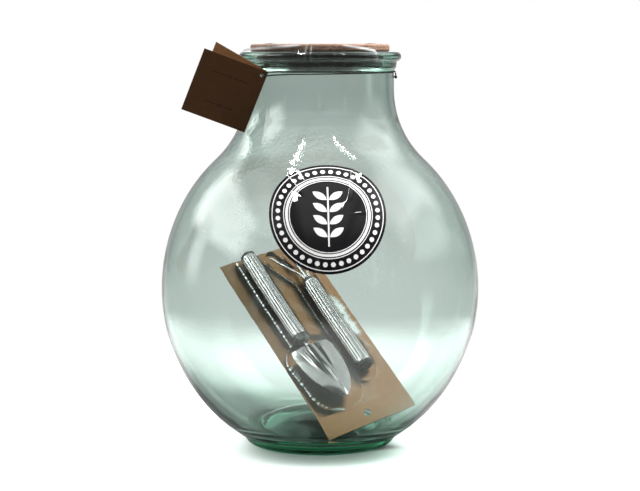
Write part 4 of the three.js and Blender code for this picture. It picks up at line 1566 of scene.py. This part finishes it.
@dataclass
class ToolPack:
    """The kraft card, its film, and the trowel and fork that the film holds on it.

    The card's frame has X across it, Y along it and Z out of its front, with its origin in the middle.
    """

    looks: "Finishes"
    width: float = 93
    length: float = 244
    card: float = 1
    middle: Triple = (-5.1, 36.3, 97.105)
    lean: float = 36.5
    roll: float = -13.9
    turn: float = 23.4
    hang_hole: float = 4
    hang_inset: float = 11.7
    grip_radius: float = 8
    grip_length: float = 118
    grip_bevel: float = 0.8
    smooth_end: float = 3
    smooth_drop: float = 0.25
    ribs: int = 14
    rib_power: float = 0.4
    rib_depth: float = 0.5
    groove: float = 0.5
    notch: float = 0.2
    notch_pitch: float = 2.1
    cap: float = 4
    ferrule: float = 6.5
    ferrule_taper: float = 0.8
    fork_ferrule: float = 0.66
    shank_radius: float = 2.4
    shank_length: float = 31
    trowel_at: Pair = (-18.3, -4)
    trowel_angle: float = 0
    blade_top: float = 18.5
    blade_length: float = 70
    blade_half: float = 21.5
    blade_lift: float = 3.6
    blade_yaw: float = 4.5
    blade_ridge: float = 3.4
    blade_sheet: float = 1.1
    fork_at: Pair = (23.5, 58.2)
    fork_angle: float = -0.4
    tine_radius: float = 1.25
    tine_length: float = 44
    tine_spread: float = 18.5
    tine_pitch: float = 2.9
    tine_drop: float = 4.5
    tine_skew: float = 2.3
    film: float = 0.3
    film_margin: float = 1.5
    film_slope: float = 6
    film_clear: float = 0.7
    film_soft: float = 2.2
    film_grid: tuple[int, int] = (280, 120)

    def placement(self) -> Placement:
        """The card's frame in the jar."""
        turn = turned(2, self.turn) @ turned(1, self.roll) @ turned(0, self.lean)
        return Placement(np.array(self.middle), turn)

    @property
    def axis_height(self) -> float:
        """Height of the handles' axes above the card."""
        return self.grip_radius + GAP

    @property
    def shank_rise(self) -> float:
        """How far the shank's end rises from the handle's axis to lie under the blade's ridge."""
        return self.blade_lift + self.blade_ridge * 0.97 - self.shank_radius - GAP

    def tool_frame(self, at: Pair, angle: float) -> Placement:
        """A tool's frame: its handle's working end at a place on the card, its axis along Y just above it."""
        return Placement(np.array([*at, self.axis_height]), turned(2, angle)).within(self.placement())

    def on_blade(self, points: Array) -> Array:
        """Points of the blade's frame in the trowel's: past the shoulders it turns by the blade's yaw."""
        shoulders = np.array([0, -self.blade_top, 0])
        return (points - shoulders) @ turned(2, self.blade_yaw).T + shoulders

    def build(self) -> None:
        """Every piece of the pack, all on its one body."""
        self._card()
        self._trowel()
        self._fork()
        self._film()

    def _add(self, name: str, node: str, solid: Solid, finish: Material, sharp: float = 40) -> None:
        """Adds one piece of the pack."""
        add_piece(name, solid, finish, "tool_pack", node, sharp)

    def _card(self) -> None:
        """The card with its hang hole."""
        half = np.array([self.width, self.length]) / 2
        centre = np.array([0.0, self.hang_inset - half[1]])
        box = np.array([-half, half])
        sheet = punched_sheet(box, centre, self.hang_hole, self.card, -self.card, lambda x, y: 0.0 * x)
        self._add("card", "tool_card", self.placement().set(sheet), self.looks.kraft)

    def _turned(self, profile: Sequence[Sequence[float]], frame_of: Placement, flip: bool) -> Solid:
        """A profile turned about a tool's axis.

        Args:
            profile: radius and distance pairs that start and end on the axis.
            frame_of: the frame whose Y is the axis.
            flip: whether the distance runs to -Y.

        Returns:
            The closed body in the outer frame.
        """
        solid = lathe(rounded(np.array(profile, float), 0.25), 48)
        along_y = np.stack([solid.points[:, 0], solid.points[:, 2], -solid.points[:, 1]], -1)
        if flip:
            along_y = along_y * np.array([-1, -1, 1])
        return frame_of.set(Solid(along_y, solid.faces))

    def _handle(self, start: float, end: float, frame_of: Placement) -> Solid:
        """A ribbed bar along Y: round ribs with sharp grooves between, notched crosswise, smooth at the ends.

        The radius is the outer one less a round bevel at the ends, less the groove depth times (1 - rib),
        less a small wave along the bar, where rib is a power of |cos| of half the rib angle.

        Args:
            start: where the bar starts along Y.
            end: where it ends.
            frame_of: the tool's frame.

        Returns:
            The closed body in the outer frame, with a map of the rib's height and the place along the bar.
        """
        sides = self.ribs * 10
        a = even_turns(sides)
        rib = np.abs(np.cos(a * self.ribs / 2)) ** self.rib_power
        length, bevel = end - start, self.grip_bevel
        lead = np.array([0, 0.15, 0.4])
        y = np.concatenate([lead, np.linspace(bevel, length - bevel, 230), length - lead[::-1]])
        edge = np.minimum(y, length - y)
        chamfer = bevel * (1 - np.sqrt(1 - (1 - np.clip(edge / bevel, 0, 1)) ** 2))
        ribbed = np.clip((edge - self.smooth_end) / bevel, 0, 1)[:, None]
        notch = self.notch * (0.5 + 0.5 * np.sin(y * 2 * math.pi / self.notch_pitch))[:, None] * rib
        depth = (self.rib_depth + self.groove) * (1 - rib) + notch
        r = self.grip_radius - chamfer[:, None] - depth * ribbed - self.smooth_drop * (1 - ribbed)
        rows = np.stack([r * np.cos(a), np.broadcast_to(start + y[:, None], r.shape), r * np.sin(a)], -1)
        solid = capped(rows, np.array([0, start, 0]), np.array([0, end, 0]))
        crown = 1 - (1 - rib) * ribbed
        solid.uv = np.vstack([np.stack([crown, rows[..., 1]], -1).reshape(-1, 2), [[1, start], [1, end]]])
        return frame_of.set(solid)

    def _cap_profile(self) -> list[list[float]]:
        """The end cap: a short straight, then a bevel to a flat end with a shallow dish.

        Returns:
            Radius and distance pairs.
        """
        r = self.grip_radius - self.rib_depth
        return [
            [0, 0], [r, 0], [r, self.cap * 0.6], [r - self.cap * 0.4, self.cap], [r * 0.6, self.cap],
            [r * 0.55, self.cap * 0.85], [0, self.cap * 0.85],
        ]

    def _ferrule_profile(self, radius: float) -> list[list[float]]:
        """The collar of a given radius: a short straight, a groove, then a taper.

        Args:
            radius: its greatest radius.

        Returns:
            Radius and distance pairs.
        """
        n = self.ferrule
        return [
            [0, 0], [radius, 0], [radius, n * 0.16], [radius - 0.5, n * 0.2], [radius, n * 0.26],
            [radius, n * 0.35], [radius * self.ferrule_taper, n], [0, n],
        ]

    def _trowel(self) -> None:
        """The trowel: it points down the card, its handle to +Y and its blade to -Y."""
        place = self.tool_frame(self.trowel_at, self.trowel_angle)
        self._add("trowel_grip", "trowel_handle", self._handle(0, self.grip_length, place), self.looks.ribbed)
        top = place.slid(self.grip_length + GAP)
        plug = self._turned(self._cap_profile(), top, False)
        self._add("trowel_plug", "trowel_end_cap", plug, self.looks.black)
        below = place.slid(-GAP)
        collar = self._turned(self._ferrule_profile(self.grip_radius - self.rib_depth), below, True)
        self._add("trowel_collar", "trowel_ferrule", collar, self.looks.black)
        rod = wire(self._shank(), self.shank_radius, 20, np.array([1.0, 0, 0]))
        self._add("trowel_rod", "trowel_shank", place.set(rod), self.looks.steel)
        self._add("trowel_spade", "trowel_blade", place.set(self._blade()), self.looks.polished, 30)

    def _shank(self) -> Array:
        """The shank's middle line: straight out of the ferrule, up, and along under the blade's ridge.

        Returns:
            Points in the trowel's frame.
        """
        start = -GAP - self.ferrule * 0.4
        under = self.on_blade(np.array([
            [0, -self.blade_top - 4, self.shank_rise], [0, start - self.shank_length, self.shank_rise]
        ]))
        mouth = GAP + self.ferrule
        return spline(np.vstack([
            [0, start, 0], [0, -mouth - 1, 0], [0, -(mouth + self.blade_top) / 2, self.shank_rise / 2],
            [0, -self.blade_top + 1.5, self.shank_rise], under,
        ]), 40)

    def _blade(self) -> Solid:
        """The pressed blade as a grid of shares down it and across it.

        Half the width is the shoulders', widening a little, times (1 - share^3)^0.8. The height is a ridge
        along the middle, less a dip beside it, plus a fold each side that dies out half-way down, less a
        crease along the lower half.

        Returns:
            The closed body in the trowel's frame.
        """
        share = np.linspace(0, 1, 100)[:, None] ** 0.9
        side = np.linspace(-1, 1, 81)
        shoulder = 0.9 + 0.1 * np.clip(share / 0.1, 0, 1)
        half = self.blade_half * shoulder * np.maximum(0.02, (1 - share**3) ** 0.8)
        ridge = self.blade_ridge * (1 - np.abs(side) ** 1.4) * (1 - share**3)
        fade = np.clip(1 - share / 0.55, 0, 1)
        fold = 0.9 * hump((np.abs(side) - 0.46 * (1 - 0.5 * share)) / 0.09) * fade
        crease = 0.5 * hump(side / 0.05) * np.clip((share - 0.3) / 0.2, 0, 1) * (1 - share**4)
        dip = 0.5 * hump((np.abs(side) - 0.22) / 0.08) * fade
        y = -self.blade_top - share * self.blade_length + 0 * side
        z = self.blade_lift + ridge + fold - dip - crease
        top = np.stack([half * side, y, z + self.blade_sheet], -1)
        solid = shell(top, top - np.array([0, 0, self.blade_sheet]))
        solid.points = self.on_blade(solid.points)
        return solid

    def _fork(self) -> None:
        """The fork: it points up the card, its tines to +Y and its handle to -Y."""
        place = self.tool_frame(self.fork_at, self.fork_angle)
        self._add("fork_grip", "fork_handle", self._handle(-self.grip_length, 0, place), self.looks.ribbed)
        below = place.slid(-self.grip_length - GAP)
        plug = self._turned(self._cap_profile(), below, True)
        self._add("fork_plug", "fork_end_cap", plug, self.looks.black)
        top = place.slid(GAP)
        profile = self._ferrule_profile((self.grip_radius - self.rib_depth) * self.fork_ferrule)
        self._add("fork_collar", "fork_ferrule", self._turned(profile, top, False), self.looks.grey)
        for name, side in (("left", -1), ("middle", 0), ("right", 1)):
            tine = wire(self._tine(side), self.tine_radius, 16, UPWARDS)
            self._add(f"fork_prong_{name}", f"fork_tine_{name}", place.set(tine), self.looks.steel)

    def _tine(self, side: int) -> Array:
        """A tine's middle line: out from its root in a soft S, and down towards the card at the tip.

        Args:
            side: -1 for the left tine, 0 for the middle one and 1 for the right one.

        Returns:
            Points along the line, in the fork's frame.
        """
        root, reach = side * self.tine_pitch, side * self.tine_spread
        begin = GAP + self.ferrule
        bend = np.array([[0, 0], [0.12, 0.04], [0.4, 0.42], [0.75, 0.86], [0.92, 1], [1, 1.02]])
        drop = np.array([0, 0, 0.05, 0.25, 0.55, 1])
        points = np.stack([
            root + (reach - root) * bend[:, 1] - self.tine_skew * bend[:, 0],
            begin + self.tine_length * bend[:, 0], -self.tine_drop * drop,
        ], -1)
        start = np.array([[root, begin - self.ferrule * 0.6, 0]])
        return spline(np.vstack([start, points]), 60)

    def _film(self) -> None:
        """The film: flat on the card round the edge, drawn over the tools, creased where it meets the card.

        Its height is the tents' one, rounded at the foot as soft · log(1 + e^(height / soft)), plus small
        creases near the foot and a few flat bubbles beyond it, all pressed down to the card at its edge.
        """
        half = self.width / 2 - self.film_margin
        low, high = 2 * self.hang_inset - self.length / 2, self.length / 2 - self.film_margin / 4
        rows, columns = self.film_grid
        y, x = np.meshgrid(np.linspace(low, high, rows), np.linspace(-half, half, columns), indexing="ij")
        raw = self._tents(x, y)
        tent = self.film_soft * np.logaddexp(0, raw / self.film_soft)
        near = hump((raw + 1) / 4)
        wave = 0.5 + 0.5 * np.sin(y * 1.5 + 1.7 * np.sin(y * 0.21) + 0.5 * np.sin(x * 0.9))
        bubble = np.clip(np.sin(x / 3.1 + 2 * np.sin(y / 17)) * np.sin(y / 4.7 + 1.5 * np.sin(x / 9)), 0, 1)
        inner = np.clip(np.minimum(half - np.abs(x), np.minimum(y - low, high - y)) / 2, 0, 1)
        height = GAP + (tent + 0.35 * near * wave + 0.15 * bubble * np.clip(-raw / 5, 0, 1)) * inner
        under = np.stack([x, y, height], -1)
        solid = shell(under + np.array([0, 0, self.film]), under)
        # The film's mirror share is painted: glints and glare where highlights should show.
        shine = np.tile(self._film_painted_glare(x, y, raw).reshape(-1), 2)
        solid.uv = np.stack([shine, 0 * shine], -1)
        self._add("pack_film", "blister_film", self.placement().set(solid), self.looks.wrap, 60)

    @staticmethod
    def _film_painted_glare(x: Array, y: Array, raw: Array) -> Array:
        """Share of the film that mirrors, painted: glinting dashes along its foot by the trowel, a ragged
        strip of glare by the fork.

        Args:
            x: places across the card.
            y: places along the card.
            raw: height of the tents there, below zero beyond their foot.

        Returns:
            A share from 0 to 1 at each place.
        """
        # Painted glints along the film's foot, a painted strip of glare by the fork, and faint painted sheen
        # patches.
        dash = np.clip(2.4 * np.sin(1.5 * y + 2.2 * np.sin(0.29 * y + 0.3) + 0.4 * x) - 0.6, 0, 1)
        foot = hump((raw + 3) / 5) * dash * np.clip((-8 - x) / 6, 0.15, 1)
        ragged = x + 0.5 * np.sin(y / 1.9) + 0.4 * np.sin(y / 0.9 + 2) + 0.8 * np.sin(y / 4.7)
        strip = np.exp(-(((ragged - 38.5) / 3) ** 2) - ((y - 4) / 40) ** 6)
        breaks = np.clip(1.5 + 1.6 * np.sin(y / 12 + 0.8) + 0.4 * np.sin(y / 2.7 + x / 3), 0.1, 1.3)
        patch = np.sin(x / 13 + 1.6 * np.sin(y / 21)) * np.sin(y / 17 + 1.2 * np.sin(x / 11))
        painted_sheen = np.clip(4 * patch, 0, 1)
        return np.clip(0.006 + 0.8 * foot + strip * breaks + 0.02 * painted_sheen, 0, 1)

    def _tents(self, x: Array, y: Array) -> Array:
        """Height of the stretched film: over each tool, then a steep slope down, below zero beyond its foot.

        Args:
            x: places across the card.
            y: places along the card.

        Returns:
            The greatest height that any handle, shank, tine or blade asks for at each place.
        """
        trowel, fork = (
            Placement(np.array([*at, 0.0]), turned(2, angle))
            for at, angle in ((self.trowel_at, self.trowel_angle), (self.fork_at, self.fork_angle))
        )
        start, grip_end = GAP + self.ferrule, self.grip_length + self.cap
        tip = start + self.tine_length
        shank_end = -GAP - self.ferrule * 0.4 - self.shank_length
        level = self.axis_height
        runs = [
            (trowel, (0, grip_end), (0, -self.ferrule), self.grip_radius, level),
            (trowel, (0, 0), (0, shank_end), self.shank_radius, level + self.shank_rise),
            (fork, (0, -grip_end), (0, self.ferrule), self.grip_radius, level),
        ]
        for side in (-1, 0, 1):
            root = (side * self.tine_pitch, start)
            end = (side * self.tine_spread - self.tine_skew, tip)
            runs.append((fork, root, end, self.tine_radius * 2.6, level))
        best = np.full(x.shape, -60.0)
        for tool, a, b, radius, lift in runs:
            ends = [tool.at(np.array([*p, 0.0]))[:2] for p in (a, b)]
            best = np.maximum(best, self._tent(distance_to_run(x, y, *ends), radius, lift))
        down_blade = (self.blade_half * 0.4, self.blade_length * 0.72)
        spade = self.on_blade(np.array([[0, -self.blade_top - down, 0] for down in down_blade]))
        ends = [point[:2] for point in trowel.at(spade)]
        away = distance_to_run(x, y, *ends)
        top = level + self.blade_lift + self.blade_ridge + self.blade_sheet + self.film_clear
        beyond = np.maximum(0, away - self.blade_half - self.film_clear)
        return np.maximum(best, top - 0.1 * np.minimum(away, self.blade_half) - self.film_slope * beyond)

    def _tent(self, distance: Array, radius: float, lift: float) -> Array:
        """A circle a clearance outside the tool up to where it is as steep as the slope, then the slope.

        Args:
            distance: distance from the tool's line.
            radius: the tool's radius.
            lift: height of its axis.

        Returns:
            The film's height at each distance.
        """
        reach = radius + self.film_clear
        touch = reach * self.film_slope / math.hypot(1, self.film_slope)
        at_touch = lift + math.sqrt(reach**2 - touch**2)
        crown = lift + np.sqrt(np.clip(reach**2 - distance**2, 0, None))
        return np.where(distance < touch, crown, at_touch - self.film_slope * (distance - touch))


def distance_to_run(x: Array, y: Array, a: Array, b: Array) -> Array:
    """Distance from places on the card to a straight run from a to b.

    Args:
        x: places across the card.
        y: places along it.
        a: the run's start.
        b: its end.

    Returns:
        The distance at each place.
    """
    run = b - a
    share = np.clip(((x - a[0]) * run[0] + (y - a[1]) * run[1]) / float(run @ run), 0, 1)
    return np.hypot(x - a[0] - share * run[0], y - a[1] - share * run[1])


def made(finish: Finish) -> Material:
    """A dataclass field that holds a finish's material, built with the set of finishes."""
    return field(default_factory=finish.build)


@dataclass
class Finishes:
    """The finished materials, each built once."""

    glass: Material = made(BottleGlass("bottle glass"))
    lid_film: Material = made(ClearFilm("lid film", 45.0))
    wrap: Material = made(ClearFilm("pack film", 70.0))
    cork: Material = made(Cork("lid cork", (0.10, 0.052, 0.036), (0.50, 0.31, 0.215)))
    # The stopper is the disc's cork painted near black: painted shade for the plug inside the neck.
    shaded_stopper: Material = made(Cork("stopper cork", (0.007, 0.0035, 0.002), (0.06, 0.03, 0.016)))
    cord: Material = made(WaxedCord("waxed cord"))
    tag_front: Material = made(Paperboard(
        "tag front", (0.042, 0.0170, 0.0046), (0.125, 0.055, 0.017), 320.0, (0.008, 0.0045, 0.003)
    ))
    tag_back: Material = made(Paperboard("tag back", (0.17, 0.075, 0.022), (0.36, 0.17, 0.06), 320.0))
    sticker: Material = made(PrintedSticker("printed sticker"))
    kraft: Material = made(Paperboard("kraft card", (0.34, 0.165, 0.082), (0.60, 0.335, 0.195), 240.0))
    ribbed: Material = made(BrightSteel("ribbed steel", tone=0.58, rough=0.09, grain=0.1, ribbed=True))
    polished: Material = made(BrightSteel("polished steel", tone=0.38, rough=0.09, grain=0.05))
    steel: Material = made(BrightSteel("wire steel", rough=0.2))
    black: Material = made(DarkMoulding("black moulding", (0.006, 0.006, 0.006)))
    grey: Material = made(DarkMoulding("grey collar", (0.09, 0.09, 0.088), 0.35))


# The studio


def stand(name: str, mesh: bpy.types.Mesh) -> bpy.types.Object:
    """Puts a part of the stage into the scene.

    Args:
        name: its name.
        mesh: its mesh.

    Returns:
        The new object.
    """
    thing = bpy.data.objects.new(name, mesh)
    bpy.context.scene.collection.objects.link(thing)
    return thing


class Role(Enum):
    """What a lamp does: a streak shows as a bright line in glossy surfaces, a key lights matt ones."""

    STREAK = "streak"
    KEY = "key"


@dataclass(frozen=True)
class Lamp:
    """A soft rectangular lamp that the camera doesn't see, shining straight down.

    The place and the size are in metres, the turn about Z in degrees and the power in watts.
    """

    name: str
    place: Triple
    turn: float
    size: Pair
    power: float
    role: Role

    def hang(self) -> None:
        """Puts the lamp up: a streak is seen only by gloss and through glass, a key only by matt surfaces."""
        light = bpy.data.lights.new(self.name, "AREA")
        light.shape = "RECTANGLE"
        light.size, light.size_y = self.size
        light.energy = self.power
        lamp = bpy.data.objects.new(self.name, light)
        lamp.location = self.place
        lamp.rotation_euler = (0, 0, math.radians(self.turn))
        lamp.visible_camera = False
        lamp.visible_glossy = self.role is Role.STREAK
        lamp.visible_transmission = self.role is Role.STREAK
        lamp.visible_diffuse = self.role is Role.KEY
        bpy.context.scene.collection.objects.link(lamp)


@dataclass(frozen=True)
class Window:
    """A pale panel that fades at its ragged edges; it faces along its own -Z, and the camera doesn't see it.

    The place and the size are in metres and the turns in degrees. It is full bright from its middle out to
    the solid share of its half size.
    """

    name: str
    place: Triple
    turn: Triple
    size: Pair
    glow: float
    solid: float = 0.25

    def hang(self) -> None:
        """Puts the panel up."""
        corners = np.array([[-1, -1], [1, -1], [1, 1], [-1, 1]]) * np.array(self.size) / 2
        mesh = bpy.data.meshes.new(self.name)
        mesh.from_pydata([(x, y, 0.0) for x, y in corners.tolist()], [], [[0, 3, 2, 1]])
        mesh.materials.append(self._material())
        panel = stand(self.name, mesh)
        panel.location = self.place
        panel.rotation_euler = [math.radians(a) for a in self.turn]
        panel.visible_camera = False

    def _material(self) -> Material:
        """A glow that gives way to nothing towards the edges, by a noise that grows with the solid share.

        Returns:
            The material.
        """
        material = bpy.data.materials.new(self.name)
        material.use_nodes = True
        recipe = Recipe(material.node_tree)
        rag = recipe.noise(recipe.coordinates(), 4.0, 2) * (self.solid - 0.25)
        x, y, _ = recipe.axes(recipe.add("ShaderNodeTexCoord").outputs["Object"])
        x, y = (abs(part) * (2 / side) + rag for part, side in zip((x, y), self.size))
        shape = x.step(self.solid, 1.0, 1.0, 0.0) * y.step(self.solid, 1.0, 1.0, 0.0)
        mix = recipe.add("ShaderNodeMixShader")
        recipe.put(shape, mix.inputs[0])
        shine = recipe.fill(recipe.add("ShaderNodeEmission"), Color=(1, 1, 1), Strength=self.glow)
        output = recipe.add("ShaderNodeOutputMaterial")
        recipe.tree.links.new(recipe.add("ShaderNodeBsdfTransparent").outputs[0], mix.inputs[1])
        recipe.tree.links.new(shine.outputs[0], mix.inputs[2])
        recipe.tree.links.new(mix.outputs[0], output.inputs["Surface"])
        material.cycles.emission_sampling = "NONE"
        return material


@dataclass(frozen=True)
class TableTop(Finish):
    """The floor's finish: white to the camera, duller through glass, a painted shadow under the jar and a
    painted glow, faded at its edge.

    The radius is in metres. The middle of the painted shadow lies a little in front of the jar's axis.
    """

    radius: float
    dull: Colour = (0.38, 0.38, 0.38)
    white: Colour = (0.95, 0.95, 0.95)
    shadow_ahead: float = 0.04

    def paint(self, recipe: Surface) -> None:
        """A painted shadow and a painted glow by the distance from the jar, and less glow at the far sides.

        Args:
            recipe: the material's tree.
        """
        place = recipe.add("ShaderNodeTexCoord").outputs["Object"]
        x, y, _ = recipe.axes(place)
        length = recipe.add("ShaderNodeVectorMath", operation="LENGTH")
        recipe.put(place, length.inputs[0])
        away = Field(recipe, length.outputs["Value"])
        fade = away.step(self.radius * 0.7, self.radius * 1.08, 1.0, 0.0)
        seen = Field(recipe, recipe.add("ShaderNodeLightPath").outputs["Is Camera Ray"])
        ahead = y + self.shadow_ahead
        near = (x * x + ahead * ahead).math("SQRT")
        # Painted light: for the camera the floor glows white, except in the painted shadow round the jar.
        glow = near.step(0.055, 0.11, 0.0, 0.7) * seen
        sides = abs(x).band(0.19, 0.09, 0.06) * y.step(0.3, 0.55)
        # Painted light seen through the glass: a glow that grows away from the jar, weaker at the far sides,
        # in front and to the right.
        far = away.step(0.12, 0.4, 0.0, 0.4) * (sides * -0.5 + 1.0) * y.step(-0.25, 0.2, 0.5, 1.0)
        far = far * x.step(0.05, 0.25, 1.0, 0.8)
        pale = recipe.blend(seen, self.dull, self.white)
        # Painted shadow: the base colour darkens near the jar, a little less for the camera.
        shade = near.step(0.04, 0.09, 0.25, 1.0).most(near.step(0.035, 0.085, 0.4, 1.0) * seen)
        recipe.dress(
            Base_Color=recipe.blend(shade, (0, 0, 0), pale), Roughness=0.6, Alpha=fade,
            Specular_IOR_Level=0.2, Emission_Color=(1.0, 1.0, 1.0), Emission_Strength=glow.most(far),
        )


@dataclass
class Studio:
    """The camera, the pale floor, the soft surroundings and the lamps, in metres and degrees.

    The tones of the surroundings are greys at shares of the way from straight down to straight up.
    """

    distance: float = 1.71
    height: float = 0.3666
    pitch: float = 5.94
    lens: float = 101.87
    sensor: float = 36
    floor_radius: float = 0.65
    floor_rings: int = 40
    floor_sides: int = 96
    back_tones: tuple[Pair, ...] = (
        (0.0, 0.6), (0.40, 0.76), (0.436, 0.70), (0.462, 0.60), (0.474, 0.48), (0.482, 0.47),
        (0.488, 0.44), (0.503, 0.41), (0.6, 0.42), (0.75, 0.6), (0.87, 1.0), (1.0, 1.1),
    )
    front_tones: tuple[Pair, ...] = (
        (0.0, 0.3), (0.42, 0.18), (0.5, 0.12), (0.62, 0.12), (0.75, 0.3), (0.87, 0.9), (1.0, 1.1),
    )
    lamps: tuple[Lamp, ...] = (
        Lamp("tube left", (-0.475, -0.48, 1.75), -3, (0.085, 0.86), 16.0, Role.STREAK),
        Lamp("tube right", (0.562, -0.60, 1.75), -11, (0.04, 1.0), 8.8, Role.STREAK),
        Lamp("key", (0.75, 0.0, 1.9), 0, (0.75, 0.75), 80.0, Role.KEY),
    )
    windows: tuple[Window, ...] = (
        Window("window left", (-1.79, 0.11, 1.30), (58, 0, -97), (3.9, 1.5), 4.2, 0.55),
        Window("window right", (1.53, 0.19, 1.59), (48, 0, 100), (3.0, 2.1), 3.0),
        Window("side left", (-1.16, 0.22, 0.45), (90, 0, -103), (0.45, 0.8), 2.0),
        Window("side right", (1.21, 0.06, 0.70), (90, 0, 95), (1.3, 0.75), 1.0),
        Window("post left", (-2.5, -1.7, 1.1), (90, 0, -57), (0.3, 1.5), 0.7),
        Window("post middle", (-0.1, -3.2, 1.1), (90, 0, 2), (0.3, 1.5), 0.6),
        Window("post right", (1.9, -2.3, 1.1), (90, 0, 40), (0.3, 1.5), 0.6),
    )

    def build(self) -> None:
        """Sets up everything that isn't part of the object."""
        scene = bpy.context.scene
        scene.view_settings.view_transform = "Standard"
        scene.view_settings.look = "None"
        scene.cycles.caustics_refractive = False
        scene.cycles.caustics_reflective = False
        self._camera()
        self._surroundings()
        self._floor()
        for light in (*self.lamps, *self.windows):
            light.hang()

    def _camera(self) -> None:
        """A camera in front of the jar, looking slightly down."""
        camera = bpy.data.cameras.new("camera")
        camera.lens = self.lens
        camera.sensor_width = self.sensor
        camera.clip_end = 50
        holder = bpy.data.objects.new("camera", camera)
        holder.location = (0, -self.distance, self.height)
        holder.rotation_euler = (math.radians(90 - self.pitch), 0, 0)
        bpy.context.scene.collection.objects.link(holder)
        bpy.context.scene.camera = holder

    def _surroundings(self) -> None:
        """White behind the object, and for glass a room: pale at the back, darker in front, beams above."""
        world = bpy.data.worlds.new("surroundings")
        bpy.context.scene.world = world
        world.use_nodes = True
        recipe = Recipe(world.node_tree)
        x, y, z = recipe.axes(recipe.add("ShaderNodeTexCoord").outputs["Generated"])
        up = z * 0.5 + 0.5
        back, front = (self._ramp(recipe, up, tones) for tones in (self.back_tones, self.front_tones))
        walls = recipe.blend(abs(x).step(0.35, 0.8, 0.0, 0.5), back, (0, 0, 0))
        room = recipe.blend(y.step(-0.1, 0.7), front, walls)
        across = x.math("DIVIDE", z.most(0.1))
        beams = (across * 5.0 + 1.17).math("SINE").step(-0.8, 0.0, 0.7, 0.0)
        beams = beams * abs(across).step(0.45, 0.65, 1.0, 0.0) * z.step(0.4, 0.6)
        room = recipe.blend(beams, room, (0.12, 0.12, 0.12))
        path = recipe.add("ShaderNodeLightPath")
        shown = recipe.blend(path.outputs["Is Camera Ray"], room, (1, 1, 1))
        background = recipe.fill(recipe.add("ShaderNodeBackground"), Color=shown, Strength=1.0)
        output = recipe.add("ShaderNodeOutputWorld")
        recipe.tree.links.new(background.outputs[0], output.inputs["Surface"])

    @staticmethod
    def _ramp(recipe: Recipe, share: Field, stops: Sequence[Pair]) -> Socket:
        """A grey that runs through tones.

        Args:
            recipe: the tree to add to.
            share: the place on the ramp, from 0 to 1.
            stops: places and their tones.

        Returns:
            The grey.
        """
        ramp = recipe.add("ShaderNodeValToRGB")
        recipe.put(share, ramp.inputs[0])
        ramp.color_ramp.interpolation = "EASE"
        elements = ramp.color_ramp.elements
        for n, (place, tone) in enumerate(stops):
            element = elements[n] if n < 2 else elements.new(place)
            element.position = place
            element.color = (tone, tone, tone, 1)
        return ramp.outputs[0]

    def _floor(self) -> None:
        """A pale table top as rings about the origin; the outer ones lie past where it has faded out."""
        rings, sides = self.floor_rings, self.floor_sides
        turn = even_turns(sides)
        far = np.linspace(0.02, 1, rings)[:, None] * self.floor_radius * 1.1
        rows = np.stack([far * np.cos(turn), far * np.sin(turn), np.zeros((rings, sides))], -1)
        points = np.vstack([rows.reshape(-1, 3), [[0, 0, 0]]])
        fan = [[rings * sides, j, (j + 1) % sides] for j in range(sides)]
        mesh = bpy.data.meshes.new("floor")
        mesh.from_pydata(points.tolist(), [], grid_faces(rings, sides, wrap_columns=True).tolist() + fan)
        mesh.materials.append(TableTop("floor", self.floor_radius).build())
        stand("floor", mesh)


def main() -> None:
    """Builds the studio and every piece in order."""
    logging.basicConfig(level=logging.INFO, format="%(message)s")
    Studio().build()
    finishes = Finishes()
    jar, cord, tag = Jar(), NeckCord(), Tag()
    jar.build(finishes.glass)
    Sticker().build(jar, finishes.sticker)
    Lid().build(jar, finishes.cork, finishes.shaded_stopper, finishes.lid_film)
    cord.build(jar, tag, finishes.cord)
    tag.build(jar, cord, finishes.tag_front, finishes.tag_back)
    ToolPack(finishes).build()


if __name__ == "__main__":
    main()
